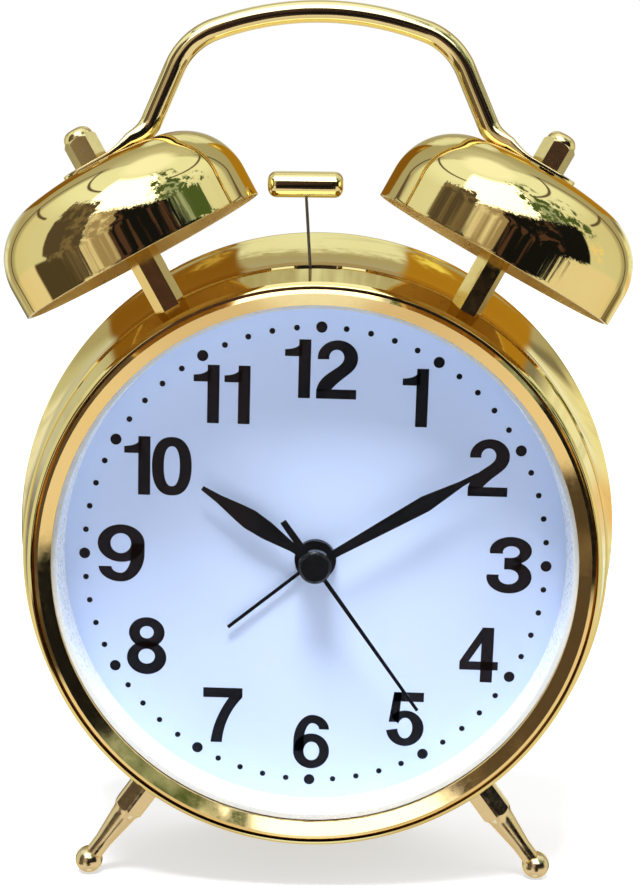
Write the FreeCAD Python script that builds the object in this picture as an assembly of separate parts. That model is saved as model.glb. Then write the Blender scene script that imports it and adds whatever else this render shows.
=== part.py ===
import FreeCAD, Part
import os
from math import atan2, ceil, cos, degrees, hypot, pi, radians, sin, sqrt, tan

# Twin-bell alarm clock. Depths (y) are counted from the dial's face, backwards positive, and
# heights from the hands' axis. Everything is moved to stand on the table when it is saved.

# dial, lens and bezel
dial_radius = 49.3
dial_thickness = 0.8
dial_hole_radius = 4.0
ring_inset = 1.5
ring_wall = 1.0
lens_cover = 0.9
lens_thickness = 1.5
lens_rear = -9.2
lens_edge = 0.3
lens_clearance = 0.15
bezel_cover = 0.8
bezel_dish = 2.1
bezel_side = 0.7
bezel_side_fall = 0.4
bezel_crest = -13.5
bezel_bore_front = -11.8
bezel_bore_rear = -11.2
bezel_bore_flare = 0.5
bezel_curve_width = 1.2
bezel_curve_fall = 0.75
bezel_wall = 0.8
bezel_foot = -8.2

# case
case_wall = 0.8
lip_gap = 0.45
lip_width = 0.9
lip_front = -13.25
lip_height = 0.65
lip_edge = 0.2
front_flare = 2.3
step_depth = -3.4
step_rise = 0.35
step_length = 0.3
rear_flare = 6.35
roll_radius = 2.4
case_rear = 29.0
opening_inset = 3.1

# plane of the bells, the hammer and the feet
post_depth = -3.2

# bells
bell_angle = 28.8
bell_axis_drop = 1.5
bell_lift = 11.2
bell_height = 17.95
bell_radius = 23.8
bell_wall = 0.8
bell_flat_radius = 6.4
bell_dome_radius = 74.5
bell_shoulder_radius = 11.5

# posts, nuts and screws
post_flats = 5.2
post_turn = 8.0
stud_radius = 1.5
stud_length = 5.4
thread_clearance = 0.05
hole_clearance = 0.15
nut_flats = 5.5
nut_hex_height = 4.5
nut_height = 6.4
screw_head_radius = 2.4
screw_head_height = 1.6
screw_length = 8.0
small_head_height = 1.2
cross_width = 0.6
cross_depth = 0.7

# handle
rod_radius = 1.9
handle_rise = 15.35
handle_top_radius = 56.0
handle_corner_radius = 12.5
handle_leg_lean = 24.4
handle_leg_spread = 28.55
handle_leg_drop = 0.3
handle_foot_radius = 8.0
tab_thickness = 1.0
tab_width = 6.6
tab_reach = 5.8

# feet
foot_angle = 36.15
foot_reach = 19.35
foot_ball_radius = 2.65
foot_flats = 5.8
foot_hex_length = 5.9
foot_neck_radius = 1.7
foot_shoulder_length = 0.8
foot_taper_length = 8.2
foot_nut_flats = 5.0
foot_nut_height = 1.8
leg_width = 26.0
leg_depth = 4.2
leg_wall = 2.0
leg_gap = 1.2
leg_top_gap = 0.6

# hammer and its motor
motor_gap = 1.7
hammer_rest = -3.75
head_lift = 3.55
head_radius = 2.3
head_length = 13.6
head_round = 1.6
wire_radius = 0.4
wire_clearance = 0.03
wire_inner_depth = 5.4
wire_jog_gap = 0.35
wire_jog_length = 5.2
wire_bend = 2.0
slot_length = 8.8
slot_width = 2.2
lever_front = 4.2
lever_thickness = 2.4
lever_hub_radius = 2.4
pin_radius = 1.0
fork_gap = 3.7
fork_jaw = 1.2
motor_offset = 8.3
motor_length = 15.0
motor_front = 7.7
motor_width = 12.0
motor_height = 10.0
crank_throw = 1.1
crank_pin_radius = 0.6
cam_radius = 2.2

# chassis and back cover
chassis_thickness = 2.2
chassis_clearance = 0.2
notch_margin = 1.5
notch_reach = 4.0
window_radius = 5.5
window_reach = 40.0
cradle_wall = 1.2
cradle_side = 1.6
pillar_inset = 8.2
pillar_angle = 28.0
pillar_radius = 3.2
pillar_hole_radius = 1.1
cover_screw_radius = 1.05
cover_face = 28.8
cover_wall = 2.0
cover_clearance = 0.2
cover_flange_width = 1.8
cover_flange = 0.8
cover_rim_width = 1.6
cover_edge = 0.3

# battery bay
cell_radius = 7.25
cell_length = 50.5
cell_gap = 0.2
cell_cap_radius = 2.6
cell_cap_height = 1.0
bay_wall = 1.0
bay_top = -17.8
contact_thickness = 0.4
contact_room = 1.3
contact_width = 10.0
contact_gap = 0.05
lid_wall = 1.4
lid_clearance = 0.2
grip_pitch = 1.6
grip_length = 12.0
grip_rise = 0.4

# movement housing
housing_half_width = 28.0
housing_low = -17.5
housing_high = 26.0
housing_front = 3.0
housing_rear = 20.0
housing_wall = 1.4
plate_front = 9.3
plate_thickness = 0.6
bush_radius = 3.9
bush_front = -0.7
ear_length = 6.0
ear_height = 8.0
ear_thickness = 2.0
ear_root = 1.0

# hand tubes, from the innermost outwards
running = 0.06
second_arbor_radius = 0.40
minute_tube_radius = 1.0
hour_tube_radius = 1.9
alarm_tube_radius = 2.8

# hands: depth of the rear face, length and widest half width
hand_thickness = 0.35
alarm_hand_depth = -0.9
hour_hand_depth = -2.6
minute_hand_depth = -4.3
second_hand_depth = -6.2
alarm_hand_length = 21.2
hour_hand_length = 25.5
minute_hand_length = 34.7
second_hand_length = 34.0
second_tail_length = 10.4
alarm_hand_angle = 231.6
hour_hand_angle = 303.4
minute_hand_angle = 60.0
second_hand_angle = 144.6
alarm_hand_half_width = 0.33
hour_hand_half_width = 1.95
minute_hand_half_width = 1.55
hub_disc_radius = 3.9
cap_radius = 3.1
cap_front = -8.0

# gears: module and teeth
train_module = 0.3
centre_teeth = 64
third_teeth = 60
second_teeth = 48
drive_teeth = 40
pinion_teeth = 8
second_module = 0.36
work_module = 0.5
cannon_teeth = 12
minute_teeth = 36
setting_teeth = 12
hour_module = 0.48
hour_teeth = 40
minute_pinion_teeth = 10
wheel_thickness = 0.8
setting_shaft_radius = 0.9

# knobs and switch
knob_radius = 6.0
knob_length = 7.0
knob_gap = 0.5
knob_flutes = 18
knob_skirt = 1.2
knob_bevel = 0.6
knob_edge = 0.6
knob_flute = 0.55
knob_grip_radius = 4.92
knob_bore_stop = 2.0
switch_place = (-20.0, 35.0)
switch_travel = 4.0
switch_width = 4.0
switch_clearance = 0.1
switch_rise = 1.6
switch_rib = 0.5
switch_rib_pitch = 1.2
switch_rib_rise = 0.4
switch_flange = 1.3
switch_skirt = 1.0

ring_bore = dial_radius - ring_inset
lens_radius = dial_radius + lens_cover
bezel_bore = dial_radius - bezel_cover
bezel_crest_radius = bezel_bore + bezel_dish
bezel_outer_radius = bezel_crest_radius + bezel_side
lip_radius = bezel_outer_radius + lip_gap + lip_width
step_radius = lip_radius + front_flare
rear_radius = step_radius + rear_flare
bell_rim = step_radius + bell_lift
bell_crown = bell_rim + bell_height
handle_apex = bell_crown + handle_rise
handle_leg_height = bell_crown - handle_leg_drop
foot_ball_reach = step_radius + foot_reach
dial_height = foot_ball_reach * cos(radians(foot_angle)) + foot_ball_radius
knob_front = cover_face + knob_gap
knob_rear = knob_front + knob_length
dial_offset = -(post_depth - bell_radius + knob_rear) / 2
case_opening = rear_radius - opening_inset
pivot_height = housing_high + motor_gap + motor_height / 2
hammer_reach = bell_rim + head_lift - pivot_height
wire_jog_high = step_radius - case_wall - wire_jog_gap
wire_jog_low = wire_jog_high - wire_jog_length
cover_rim_radius = case_opening - cover_clearance
pillar_reach = case_opening - pillar_inset
pillar_x = pillar_reach * cos(radians(pillar_angle))
pillar_z = pillar_reach * sin(radians(pillar_angle))
pillar_places = [(side * pillar_x, rise * pillar_z) for side in (-1, 1) for rise in (-1, 1)]

origin = FreeCAD.Vector(0, 0, 0)
along_x = FreeCAD.Vector(1, 0, 0)
along_y = FreeCAD.Vector(0, 1, 0)
along_z = FreeCAD.Vector(0, 0, 1)


def vec(x, y, z):
    return FreeCAD.Vector(x, y, z)


def save(name, shape):
    placed = shape.copy()
    placed.translate(vec(0, dial_offset, dial_height))
    placed.exportStep("parts/" + name + ".step")


def outline(at, start, *steps):
    # A closed wire: each step is the next corner, or a point on an arc and the arc's end.
    edges = []
    here = start
    for step in steps + (start,):
        if isinstance(step[0], tuple):
            edges.append(Part.Arc(at(*here), at(*step[0]), at(*step[1])).toShape())
            here = step[1]
        elif hypot(step[0] - here[0], step[1] - here[1]) > 1e-7:
            edges.append(Part.LineSegment(at(*here), at(*step)).toShape())
            here = step
    return Part.Wire(edges)


def turned(start, *steps):
    # A solid of revolution about the hands' axis, from radius and depth.
    wire = outline(lambda radius, depth: vec(radius, depth, 0), start, *steps)
    return Part.Face(wire).revolve(origin, along_y, 360)


def spun(start, *steps):
    # A solid of revolution about the vertical, from radius and height.
    wire = outline(lambda radius, height: vec(radius, 0, height), start, *steps)
    return Part.Face(wire).revolve(origin, along_z, 360)


def rod(radius, x, z, front, rear):
    return Part.makeCylinder(radius, rear - front, vec(x, front, z), along_y)


def tube(outer, inner, x, z, front, rear):
    return rod(outer, x, z, front, rear).cut(rod(inner, x, z, front, rear))


def block(x0, x1, y0, y1, z0, z1):
    return Part.makeBox(x1 - x0, y1 - y0, z1 - z0, vec(x0, y0, z0))


def flat(points, front, rear):
    # A flat plate from corners in the dial's plane.
    corners = [vec(x, front, z) for x, z in points]
    face = Part.Face(Part.makePolygon(corners + corners[:1]))
    return face.extrude(vec(0, rear - front, 0))


def hexagon(flats, low, high, turn=0.0):
    reach = flats / 2 / cos(pi / 6)
    corners = [vec(reach * cos(radians(60 * k + turn)), reach * sin(radians(60 * k + turn)), low)
               for k in range(6)]
    return Part.Face(Part.makePolygon(corners + corners[:1])).extrude(vec(0, 0, high - low))


def joined(first, *others):
    return first.fuse(list(others)).removeSplitter()


def mirrored(shape):
    return shape.mirror(origin, along_x)


def on_bell_axis(shape, side):
    # Tilts a shape made upright about the vertical onto one bell's axis.
    placed = shape.copy()
    placed.rotate(origin, along_y, side * bell_angle)
    placed.translate(vec(0, post_depth, -bell_axis_drop))
    return placed


def on_foot_axis(shape, side):
    # Points a shape made along the vertical down one foot's axis.
    placed = shape.copy()
    placed.rotate(origin, along_y, side * (180 - foot_angle))
    placed.translate(vec(0, post_depth, 0))
    return placed


# gears

def tooth_pitch(teeth):
    return 360.0 / teeth


def gear(teeth, module, centre, tooth_angle, front, rear, bore=0.0):
    # Straight-flanked clock teeth, narrow enough to run free; one tooth points at tooth_angle.
    x0, z0 = centre
    radius = teeth * module / 2
    root = radius - 1.25 * module
    tip = radius + 0.75 * module
    step = tooth_pitch(teeth)
    points = []
    for k in range(teeth):
        middle = tooth_angle + k * step
        for reach, share in ((root, -0.30), (tip, -0.10), (tip, 0.10), (root, 0.30)):
            angle = radians(middle + share * step)
            points.append((x0 + reach * cos(angle), z0 + reach * sin(angle)))
    wheel = flat(points, front, rear)
    if bore:
        wheel = wheel.cut(rod(bore, x0, z0, front, rear))
    return wheel


def meshed(teeth, tooth_angle, towards, other_teeth):
    # The tooth angle of a gear that lies in direction towards, so that its gap takes a tooth.
    share = ((towards - tooth_angle) / tooth_pitch(teeth)) % 1.0
    return towards + 180 - (0.5 - share) * tooth_pitch(other_teeth)


def polar(distance, angle, start=(0.0, 0.0)):
    return (start[0] + distance * cos(radians(angle)), start[1] + distance * sin(radians(angle)))


def direction(start, end):
    return degrees(atan2(end[1] - start[1], end[0] - start[0]))


work_distance = work_module * (cannon_teeth + minute_teeth) / 2
minute_wheel_place = polar(work_distance, 130)
setting_place = polar(work_distance, 190)
alarm_distance = hour_module * (hour_teeth + minute_pinion_teeth) / 2
alarm_set_place = polar(alarm_distance, -10)
third_distance = train_module * (pinion_teeth + third_teeth) / 2
third_place = polar(third_distance, 90)
centre_module = 2 * third_distance / (pinion_teeth + centre_teeth)
drive_distance = second_module * (pinion_teeth + second_teeth) / 2
drive_place = polar(drive_distance, -60)
rotor_distance = train_module * (pinion_teeth + drive_teeth) / 2
rotor_place = polar(rotor_distance, -10, drive_place)


# case and its surfaces

def flare_radius(depth):
    # Outer radius of the case's rear cone.
    share = (depth - step_depth) / (case_rear - roll_radius - step_depth)
    return step_radius + step_rise + share * (rear_radius - step_radius - step_rise)


def case_body(inset):
    # The space inside the case's outer surface, or inside its wall when inset is the wall.
    return turned((0, lip_front), (lip_radius - inset, lip_front + lip_height),
                  (step_radius - inset, step_depth),
                  (step_radius + step_rise - inset, step_depth + step_length),
                  (rear_radius - inset, case_rear - roll_radius), (0, case_rear - roll_radius))


def case_shell():
    lip_bore = bezel_outer_radius + lip_gap
    lip_side = lip_front + lip_height
    roll_middle = case_rear - roll_radius
    roll_centre = rear_radius - roll_radius
    half = sqrt(0.5)
    shell = turned(
        (lip_bore, lip_side), (lip_bore + lip_edge, lip_front), (lip_radius - lip_edge, lip_front),
        (lip_radius, lip_side),
        (step_radius, step_depth), (step_radius + step_rise, step_depth + step_length),
        (rear_radius, roll_middle),
        ((roll_centre + half * roll_radius, roll_middle + half * roll_radius), (roll_centre, case_rear)),
        (case_opening, case_rear), (case_opening, case_rear - case_wall),
        (roll_centre, case_rear - case_wall), (rear_radius - case_wall, roll_middle),
        (step_radius + step_rise - case_wall, step_depth + step_length),
        (step_radius - case_wall, step_depth), (lip_radius - case_wall, lip_side))
    reach = rear_radius
    for side in (-1, 1):
        hole = Part.makeCylinder(stud_radius + hole_clearance, reach)
        shell = shell.cut(on_bell_axis(hole, side)).cut(on_foot_axis(hole, side))
    half_slot = slot_length / 2 - slot_width / 2
    low = step_radius - 6
    slot = block(-half_slot, half_slot, post_depth - slot_width / 2, post_depth + slot_width / 2, low, reach)
    for side in (-1, 1):
        end = Part.makeCylinder(slot_width / 2, reach - low, vec(side * half_slot, post_depth, low))
        slot = slot.fuse(end)
    return shell.cut(slot)


def bezel_ring():
    flange = case_inner_radius(bezel_foot - bezel_wall) - chassis_clearance
    inner_edge = lens_rear - lens_thickness
    dish = (bezel_bore + bezel_curve_width, bezel_crest + bezel_curve_fall)
    seat = lens_radius + lens_clearance
    return turned(
        (bezel_bore, bezel_bore_rear), (bezel_bore, bezel_bore_front),
        (dish, (bezel_crest_radius, bezel_crest)),
        (bezel_outer_radius, bezel_crest + bezel_side_fall), (bezel_outer_radius, bezel_foot - bezel_wall),
        (flange, bezel_foot - bezel_wall), (flange, bezel_foot), (seat, bezel_foot),
        (seat, inner_edge), (bezel_bore + bezel_bore_flare, inner_edge))


def case_inner_radius(depth):
    # Inner radius of the case's front cone.
    share = (depth - lip_front - lip_height) / (step_depth - lip_front - lip_height)
    return lip_radius + share * (step_radius - lip_radius) - case_wall


def lens():
    front = lens_rear - lens_thickness
    return turned((0, front), (lens_radius - lens_edge, front), (lens_radius, front + lens_edge),
                  (lens_radius, lens_rear), (0, lens_rear))


def inner_ring():
    outer = ring_bore + ring_wall
    return turned((ring_bore, lens_rear), (outer, lens_rear), (outer, 0), (ring_bore, 0))


def dial_plate():
    return tube(dial_radius, dial_hole_radius, 0, 0, 0, dial_thickness)


# chassis

def chassis():
    front = dial_thickness
    rear = front + chassis_thickness
    disc_radius = flare_radius(front) - case_wall - chassis_clearance
    pillar_rear = cover_face - cover_wall
    plate = rod(disc_radius, 0, 0, front, rear)
    boss = rod(lever_hub_radius, 0, pivot_height, rear, lever_front - running)
    pieces = [boss]
    for x, z in pillar_places:
        pieces.append(rod(pillar_radius, x, z, rear, pillar_rear))
    pieces.append(motor_cradle(rear))
    body = joined(plate, *pieces)
    body = body.cut(rod(bush_radius + hole_clearance, 0, 0, front, rear))
    body = body.cut(rod(pin_radius + running, 0, pivot_height, front, lever_front))
    notch_half = slot_length / 2 + notch_margin
    wire_notch = block(-notch_half, notch_half, front, rear, wire_jog_low - notch_reach, rear_radius)
    body = body.cut(wire_notch)
    depth = screw_length + 4
    for x, z in pillar_places:
        body = body.cut(rod(pillar_hole_radius, x, z, pillar_rear - depth, pillar_rear))
    for side in (-1, 1):
        x = side * ear_place()
        body = body.cut(rod(pillar_hole_radius, x, ear_middle(), front, rear))
    for angle in (-150, -110, -70, -30):
        x, z = polar(window_reach, angle)
        body = body.cut(rod(window_radius, x, z, front, rear))
    return body


def motor_cradle(front):
    # A block beside the hammer's motor with two cheeks that hold its flat sides.
    side = motor_offset + motor_width / 2
    rear = motor_front + motor_length * 0.7
    outer = motor_height / 2 + cradle_wall
    inner = motor_height / 2
    low = pivot_height - outer
    high = pivot_height + outer
    cradle = block(side, side + cradle_side, front, rear, low, high)
    cheeks = block(motor_offset - 2, side, motor_front + 0.3, rear, low, high)
    gap = block(motor_offset - 2, side, motor_front, rear, pivot_height - inner, pivot_height + inner)
    return cradle.fuse(cheeks.cut(gap))


def ear_place():
    return housing_half_width + ear_length / 2


def ear_middle():
    return (housing_low + housing_high) / 2


# bells, posts, nuts and handle

def dome_height(radius):
    # Height of the bell's outer dome above the rim's origin, at a radius.
    crown = bell_crown + bell_dome_radius - sqrt(bell_dome_radius ** 2 - bell_flat_radius ** 2)
    return crown - bell_dome_radius + sqrt(bell_dome_radius ** 2 - radius ** 2)


def bell():
    def profile(inset):
        # Crown flat, shallow dome, tight shoulder and straight wall, each tangent to the next.
        dome = bell_dome_radius - inset
        shoulder = bell_shoulder_radius - inset
        dome_centre = dome_height(0) - bell_dome_radius
        shoulder_x = bell_radius - bell_shoulder_radius
        gap = bell_dome_radius - bell_shoulder_radius
        shoulder_z = dome_centre + sqrt(gap ** 2 - shoulder_x ** 2)
        lean = atan2(shoulder_x, shoulder_z - dome_centre)
        start = atan2(bell_flat_radius, sqrt(bell_dome_radius ** 2 - bell_flat_radius ** 2))
        flat_edge = (dome * sin(start), dome_centre + dome * cos(start))
        middle = (start + lean) / 2
        dome_middle = (dome * sin(middle), dome_centre + dome * cos(middle))
        dome_end = (dome * sin(lean), dome_centre + dome * cos(lean))
        turn = (lean + pi / 2) / 2
        shoulder_middle = (shoulder_x + shoulder * sin(turn), shoulder_z + shoulder * cos(turn))
        shoulder_end = (shoulder_x + shoulder, shoulder_z)
        return spun((0, bell_rim), (0, flat_edge[1]), flat_edge, (dome_middle, dome_end),
                    (shoulder_middle, shoulder_end), (bell_radius - inset, bell_rim))
    hole = Part.makeCylinder(stud_radius + hole_clearance, bell_crown)
    return profile(0).cut(profile(bell_wall)).cut(hole)


def bell_post():
    top = bell_crown - bell_wall
    low = step_radius - 4
    post = hexagon(post_flats, low, top, post_turn)
    stud = Part.makeCylinder(stud_radius, stud_length, vec(0, 0, top))
    bore = Part.makeCylinder(stud_radius + thread_clearance, step_radius + screw_length - low, vec(0, 0, low))
    return joined(post, stud).cut(bore)


def post_screw():
    # The head's top is cut to the case's inner wall.
    top = step_radius + screw_length - 1
    inside = step_radius - 2 * case_wall
    seat = vec(0, 0, inside - screw_head_height)
    shank = Part.makeCylinder(stud_radius, top - inside + screw_head_height, seat)
    head = Part.makeCylinder(screw_head_radius, screw_head_height + 3 * case_wall, seat)
    return shank, head


def acorn_nut():
    base = bell_crown + tab_thickness
    hex_top = base + nut_hex_height
    top = base + nut_height
    cap = nut_flats / 2
    shape = hexagon(nut_flats, base, top, 0)
    rounding = spun((0, base), (cap * 1.155, base), (cap * 1.155, hex_top - 0.3), (cap, hex_top + 0.2),
                    ((cap * 0.80, top - 0.45), (cap * 0.30, top)), (0, top))
    bore_top = bell_crown - bell_wall + stud_length + 0.3
    bore = Part.makeCylinder(stud_radius + thread_clearance, bore_top - base, vec(0, 0, base))
    return shape.common(rounding).cut(bore)


def rod_section(centre, across, half_thickness, half_width, flatness):
    # Four arcs: a circle when flatness is 0, a crowned strip when it is 1.
    a = half_width * (sqrt(0.5) + flatness * 0.22)
    b = half_thickness * (sqrt(0.5) + flatness * 0.16)

    def at(y, t):
        return centre + across * t + along_y * y
    corners = [(-a, b), (a, b), (a, -b), (-a, -b)]
    middles = [(0, half_thickness), (half_width, 0), (0, -half_thickness), (-half_width, 0)]
    edges = []
    for k in range(4):
        edges.append(Part.Arc(at(*corners[k]), at(*middles[k]), at(*corners[(k + 1) % 4])).toShape())
    return Part.Wire(edges)


def handle():
    # The rod's centre line: a wide top arc, two corners, straight legs and feet bent along the bells.
    def at(x, z):
        return vec(x, post_depth, z)
    lean = radians(handle_leg_lean)
    tilt = radians(bell_angle)
    down = vec(sin(lean), 0, -cos(lean))
    inward = vec(-cos(lean), 0, -sin(lean))
    leg = at(handle_leg_spread, handle_leg_height)
    top_centre = at(0, handle_apex - handle_top_radius)
    reach = leg + inward * handle_corner_radius - top_centre
    slide = down.dot(reach)
    gap = handle_top_radius - handle_corner_radius
    shift = -slide - sqrt(slide ** 2 - reach.dot(reach) + gap ** 2)
    corner_centre = top_centre + reach + down * shift
    outward = (corner_centre - top_centre).normalize()
    top_end = top_centre + outward * handle_top_radius
    leg_start = corner_centre - inward * handle_corner_radius
    corner_middle = corner_centre + (outward - inward).normalize() * handle_corner_radius
    top_middle = top_centre + (outward + along_z).normalize() * handle_top_radius
    # where the leg's line meets the tab's middle plane
    axis = vec(sin(tilt), 0, cos(tilt))
    along = vec(cos(tilt), 0, -sin(tilt))
    seat = bell_crown + tab_thickness / 2
    bell_origin = at(0, -bell_axis_drop)
    travel = (seat - axis.dot(leg - bell_origin)) / axis.dot(down)
    knee = leg + down * travel
    turn = pi / 2 - lean - tilt
    tangent = handle_foot_radius * tan(turn / 2)
    leg_end = knee - down * tangent
    foot_centre = leg_end - inward * handle_foot_radius
    path = Part.Wire([
        Part.Arc(at(0, handle_apex), top_middle, top_end).toShape(),
        Part.Arc(top_end, corner_middle, leg_start).toShape(),
        Part.LineSegment(leg_start, leg_end).toShape()])
    ring = Part.Wire(Part.Circle(at(0, handle_apex), along_x, rod_radius).toShape())
    bow = path.makePipeShell([ring], True, False)
    sections = []
    steps = 4
    for k in range(steps + 1):
        share = k / steps
        swing = turn * share
        radial = inward * cos(swing) + down * sin(swing)
        centre = foot_centre + radial * handle_foot_radius
        half_thickness = rod_radius + share * (tab_thickness / 2 - rod_radius)
        half_width = rod_radius + share ** 1.5 * (tab_width / 2 - rod_radius)
        sections.append(rod_section(centre, radial * -1, half_thickness, half_width, share))
    foot = Part.makeLoft(sections, True, False)
    start = along.dot(foot_centre + radial * handle_foot_radius - bell_origin)
    plate = Part.makeBox(-start, tab_width, tab_thickness, vec(start, -tab_width / 2, bell_crown))
    end_radius = tab_width / 2
    plate = plate.fuse(Part.makeBox(tab_reach - end_radius, tab_width, tab_thickness,
                                    vec(0, -tab_width / 2, bell_crown)))
    end_centre = vec(tab_reach - end_radius, 0, bell_crown)
    plate = plate.fuse(Part.makeCylinder(end_radius, tab_thickness, end_centre))
    hole = Part.makeCylinder(stud_radius + hole_clearance, tab_thickness, vec(0, 0, bell_crown))
    plate = on_bell_axis(plate.removeSplitter().cut(hole), 1)
    half = bow.fuse([foot, plate])
    return half.fuse(mirrored(half)).removeSplitter()


# feet

def foot():
    # Hexagonal root, tapered shank, neck and ball, along the foot's axis.
    root = step_radius - 4
    surface = step_radius + step_rise
    hex_end = surface + foot_hex_length
    taper_end = hex_end + foot_taper_length
    ball = foot_ball_reach
    half = foot_flats / 2
    neck_length = sqrt(foot_ball_radius ** 2 - foot_neck_radius ** 2)
    hexed = hexagon(foot_flats, root, hex_end, 0)
    shank = spun((0, surface), (half * 0.98, surface), (half * 0.98, hex_end),
                 (half * 0.86, hex_end + foot_shoulder_length), (foot_neck_radius, taper_end),
                 (foot_neck_radius, ball - neck_length),
                 ((foot_ball_radius, ball), (0, ball + foot_ball_radius)))
    return hexed.fuse(shank).removeSplitter()


def foot_stud():
    inside = step_radius - case_wall - foot_nut_height - 1.2
    return Part.makeCylinder(stud_radius, step_radius - inside, vec(0, 0, inside))


def foot_nut():
    # The nut's seat is cut to the case's inner wall.
    inside = step_radius - 2 * case_wall - foot_nut_height
    nut = hexagon(foot_nut_flats, inside, step_radius + 3, 0)
    bore = Part.makeCylinder(stud_radius + thread_clearance, step_radius, vec(0, 0, 0))
    return nut.cut(bore)


# hammer

def swung(shape, angle=hammer_rest):
    placed = shape.copy()
    placed.rotate(vec(0, 0, pivot_height), along_y, angle)
    return placed


def hammer_head():
    half = head_length / 2
    bow = head_radius - head_round
    corner = sqrt(0.5) * head_round
    wire = outline(lambda radius, x: vec(x, 0, radius), (0, -half), (bow, -half),
                   ((bow + corner, -half + head_round - corner), (head_radius, -half + head_round)),
                   (head_radius, half - head_round),
                   ((bow + corner, half - head_round + corner), (bow, half)), (0, half))
    head = Part.Face(wire).revolve(origin, along_x, 360)
    hole = Part.makeCylinder(wire_radius + wire_clearance, head_radius + 1, vec(0, 0, -head_radius - 1))
    head = head.cut(hole)
    head.translate(vec(0, post_depth, pivot_height + hammer_reach))
    return swung(head)


def bent_path(points, radius):
    # Straight runs joined by tangent arcs of one radius.
    edges = []
    here = points[0]
    for before, corner, after in zip(points, points[1:], points[2:]):
        come = (corner - before).normalize()
        leave = (after - corner).normalize()
        turn = come.getAngle(leave)
        tangent = radius * tan(turn / 2)
        start = corner - come * tangent
        end = corner + leave * tangent
        inside = (leave - come).normalize()
        centre = corner + inside * (radius / cos(turn / 2))
        edges.append(Part.LineSegment(here, start).toShape())
        edges.append(Part.Arc(start, centre - inside * radius, end).toShape())
        here = end
    edges.append(Part.LineSegment(here, points[-1]).toShape())
    return Part.Wire(edges)


def hammer_wire():
    start = pivot_height + lever_hub_radius * 0.5
    top = pivot_height + hammer_reach
    points = [vec(0, wire_inner_depth, start), vec(0, wire_inner_depth, wire_jog_low),
              vec(0, post_depth, wire_jog_high), vec(0, post_depth, top)]
    path = bent_path(points, wire_bend)
    ring = Part.Wire(Part.Circle(points[0], along_z, wire_radius).toShape())
    return swung(path.makePipeShell([ring], True, False))


def hammer_lever():
    rear = lever_front + lever_thickness
    back = motor_offset - crank_throw - crank_pin_radius - 1.2
    end = motor_offset + crank_throw + crank_pin_radius + 0.6
    outer = fork_gap + fork_jaw
    hub = rod(lever_hub_radius, 0, pivot_height, lever_front, rear)
    arm = block(0, back, lever_front, rear, pivot_height - 1.2, pivot_height + 1.2)
    fork = block(back - 1.4, end, lever_front, rear, pivot_height - outer, pivot_height + outer)
    fork = fork.cut(block(back, end, lever_front, rear, pivot_height - fork_gap, pivot_height + fork_gap))
    lever = joined(hub, arm, fork)
    lever = lever.cut(rod(pin_radius + running, 0, pivot_height, lever_front, rear))
    start = pivot_height + lever_hub_radius * 0.5
    hole = Part.makeCylinder(wire_radius + wire_clearance, lever_hub_radius, vec(0, wire_inner_depth, start))
    return swung(lever.cut(hole))


def hammer_pivot_pin():
    rear = lever_front + lever_thickness + running
    shank = rod(pin_radius, 0, pivot_height, dial_thickness + 0.2, rear)
    head = rod(pin_radius + 0.7, 0, pivot_height, rear, rear + 0.5)
    return joined(shank, head)


def hammer_motor():
    # A flat-sided can, bored for its shaft.
    rear = motor_front + motor_length
    round_part = rod(motor_width / 2, motor_offset, pivot_height, motor_front, rear)
    sides = block(motor_offset - motor_width, motor_offset + motor_width, motor_front, rear,
                  pivot_height - motor_height / 2, pivot_height + motor_height / 2)
    can = round_part.common(sides)
    shaft_hole = rod(pin_radius * 0.5 + running, motor_offset, pivot_height, motor_front, motor_front + 6)
    return can.cut(shaft_hole)


def motor_cam():
    disc_front = lever_front + lever_thickness + 0.3
    disc_rear = motor_front - 0.2
    disc = rod(cam_radius, motor_offset, pivot_height, disc_front, disc_rear)
    pin = rod(crank_pin_radius, motor_offset + crank_throw, pivot_height, lever_front + 0.3, disc_front)
    shaft = rod(pin_radius * 0.5, motor_offset, pivot_height, disc_rear, motor_front + 5)
    return joined(disc, pin, shaft)


# movement housing

def tray(front, rear, floor_at_front):
    # One half of the housing: a floor and four walls.
    outer = block(-housing_half_width, housing_half_width, front, rear, housing_low, housing_high)
    inner_front = front + housing_wall if floor_at_front else front
    inner_rear = rear if floor_at_front else rear - housing_wall
    inner = block(-housing_half_width + housing_wall, housing_half_width - housing_wall, inner_front,
                  inner_rear, housing_low + housing_wall, housing_high - housing_wall)
    upright = [edge for edge in outer.Edges if abs(edge.tangentAt(edge.FirstParameter).y) > 0.9]
    return outer.makeFillet(2.0, upright).cut(inner)


def movement_front():
    body = tray(housing_front, plate_front, True)
    bush = rod(bush_radius, 0, 0, bush_front, housing_front)
    floor = housing_front + housing_wall
    stud = rod(0.7, minute_wheel_place[0], minute_wheel_place[1], floor - 0.4, plate_front - 0.2)
    ears = []
    middle = ear_middle()
    for side in (-1, 1):
        ends = (side * (housing_half_width - ear_root), side * (housing_half_width + ear_length))
        inner, outer = sorted(ends)
        ears.append(block(inner, outer, housing_front, housing_front + ear_thickness,
                          middle - ear_height / 2, middle + ear_height / 2))
    body = joined(body, bush, stud, *ears)
    for side in (-1, 1):
        body = body.cut(rod(pillar_hole_radius + hole_clearance, side * ear_place(), middle,
                            housing_front, housing_front + ear_thickness))
    return body.cut(rod(alarm_tube_radius + running, 0, 0, bush_front, floor))


def middle_plate():
    front, rear = plate_front, plate_front + plate_thickness
    plate = block(-housing_half_width + 1, housing_half_width - 1, front, rear,
                  housing_low + 1, housing_high - 1)
    holes = [((0.0, 0.0), minute_tube_radius), (setting_place, setting_shaft_radius),
             (alarm_set_place, setting_shaft_radius), (third_place, second_arbor_radius),
             (rotor_place, second_arbor_radius), (drive_place, second_arbor_radius + 1.2)]
    for (x, z), radius in holes:
        plate = plate.cut(rod(radius + running, x, z, front, rear))
    return plate


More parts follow.
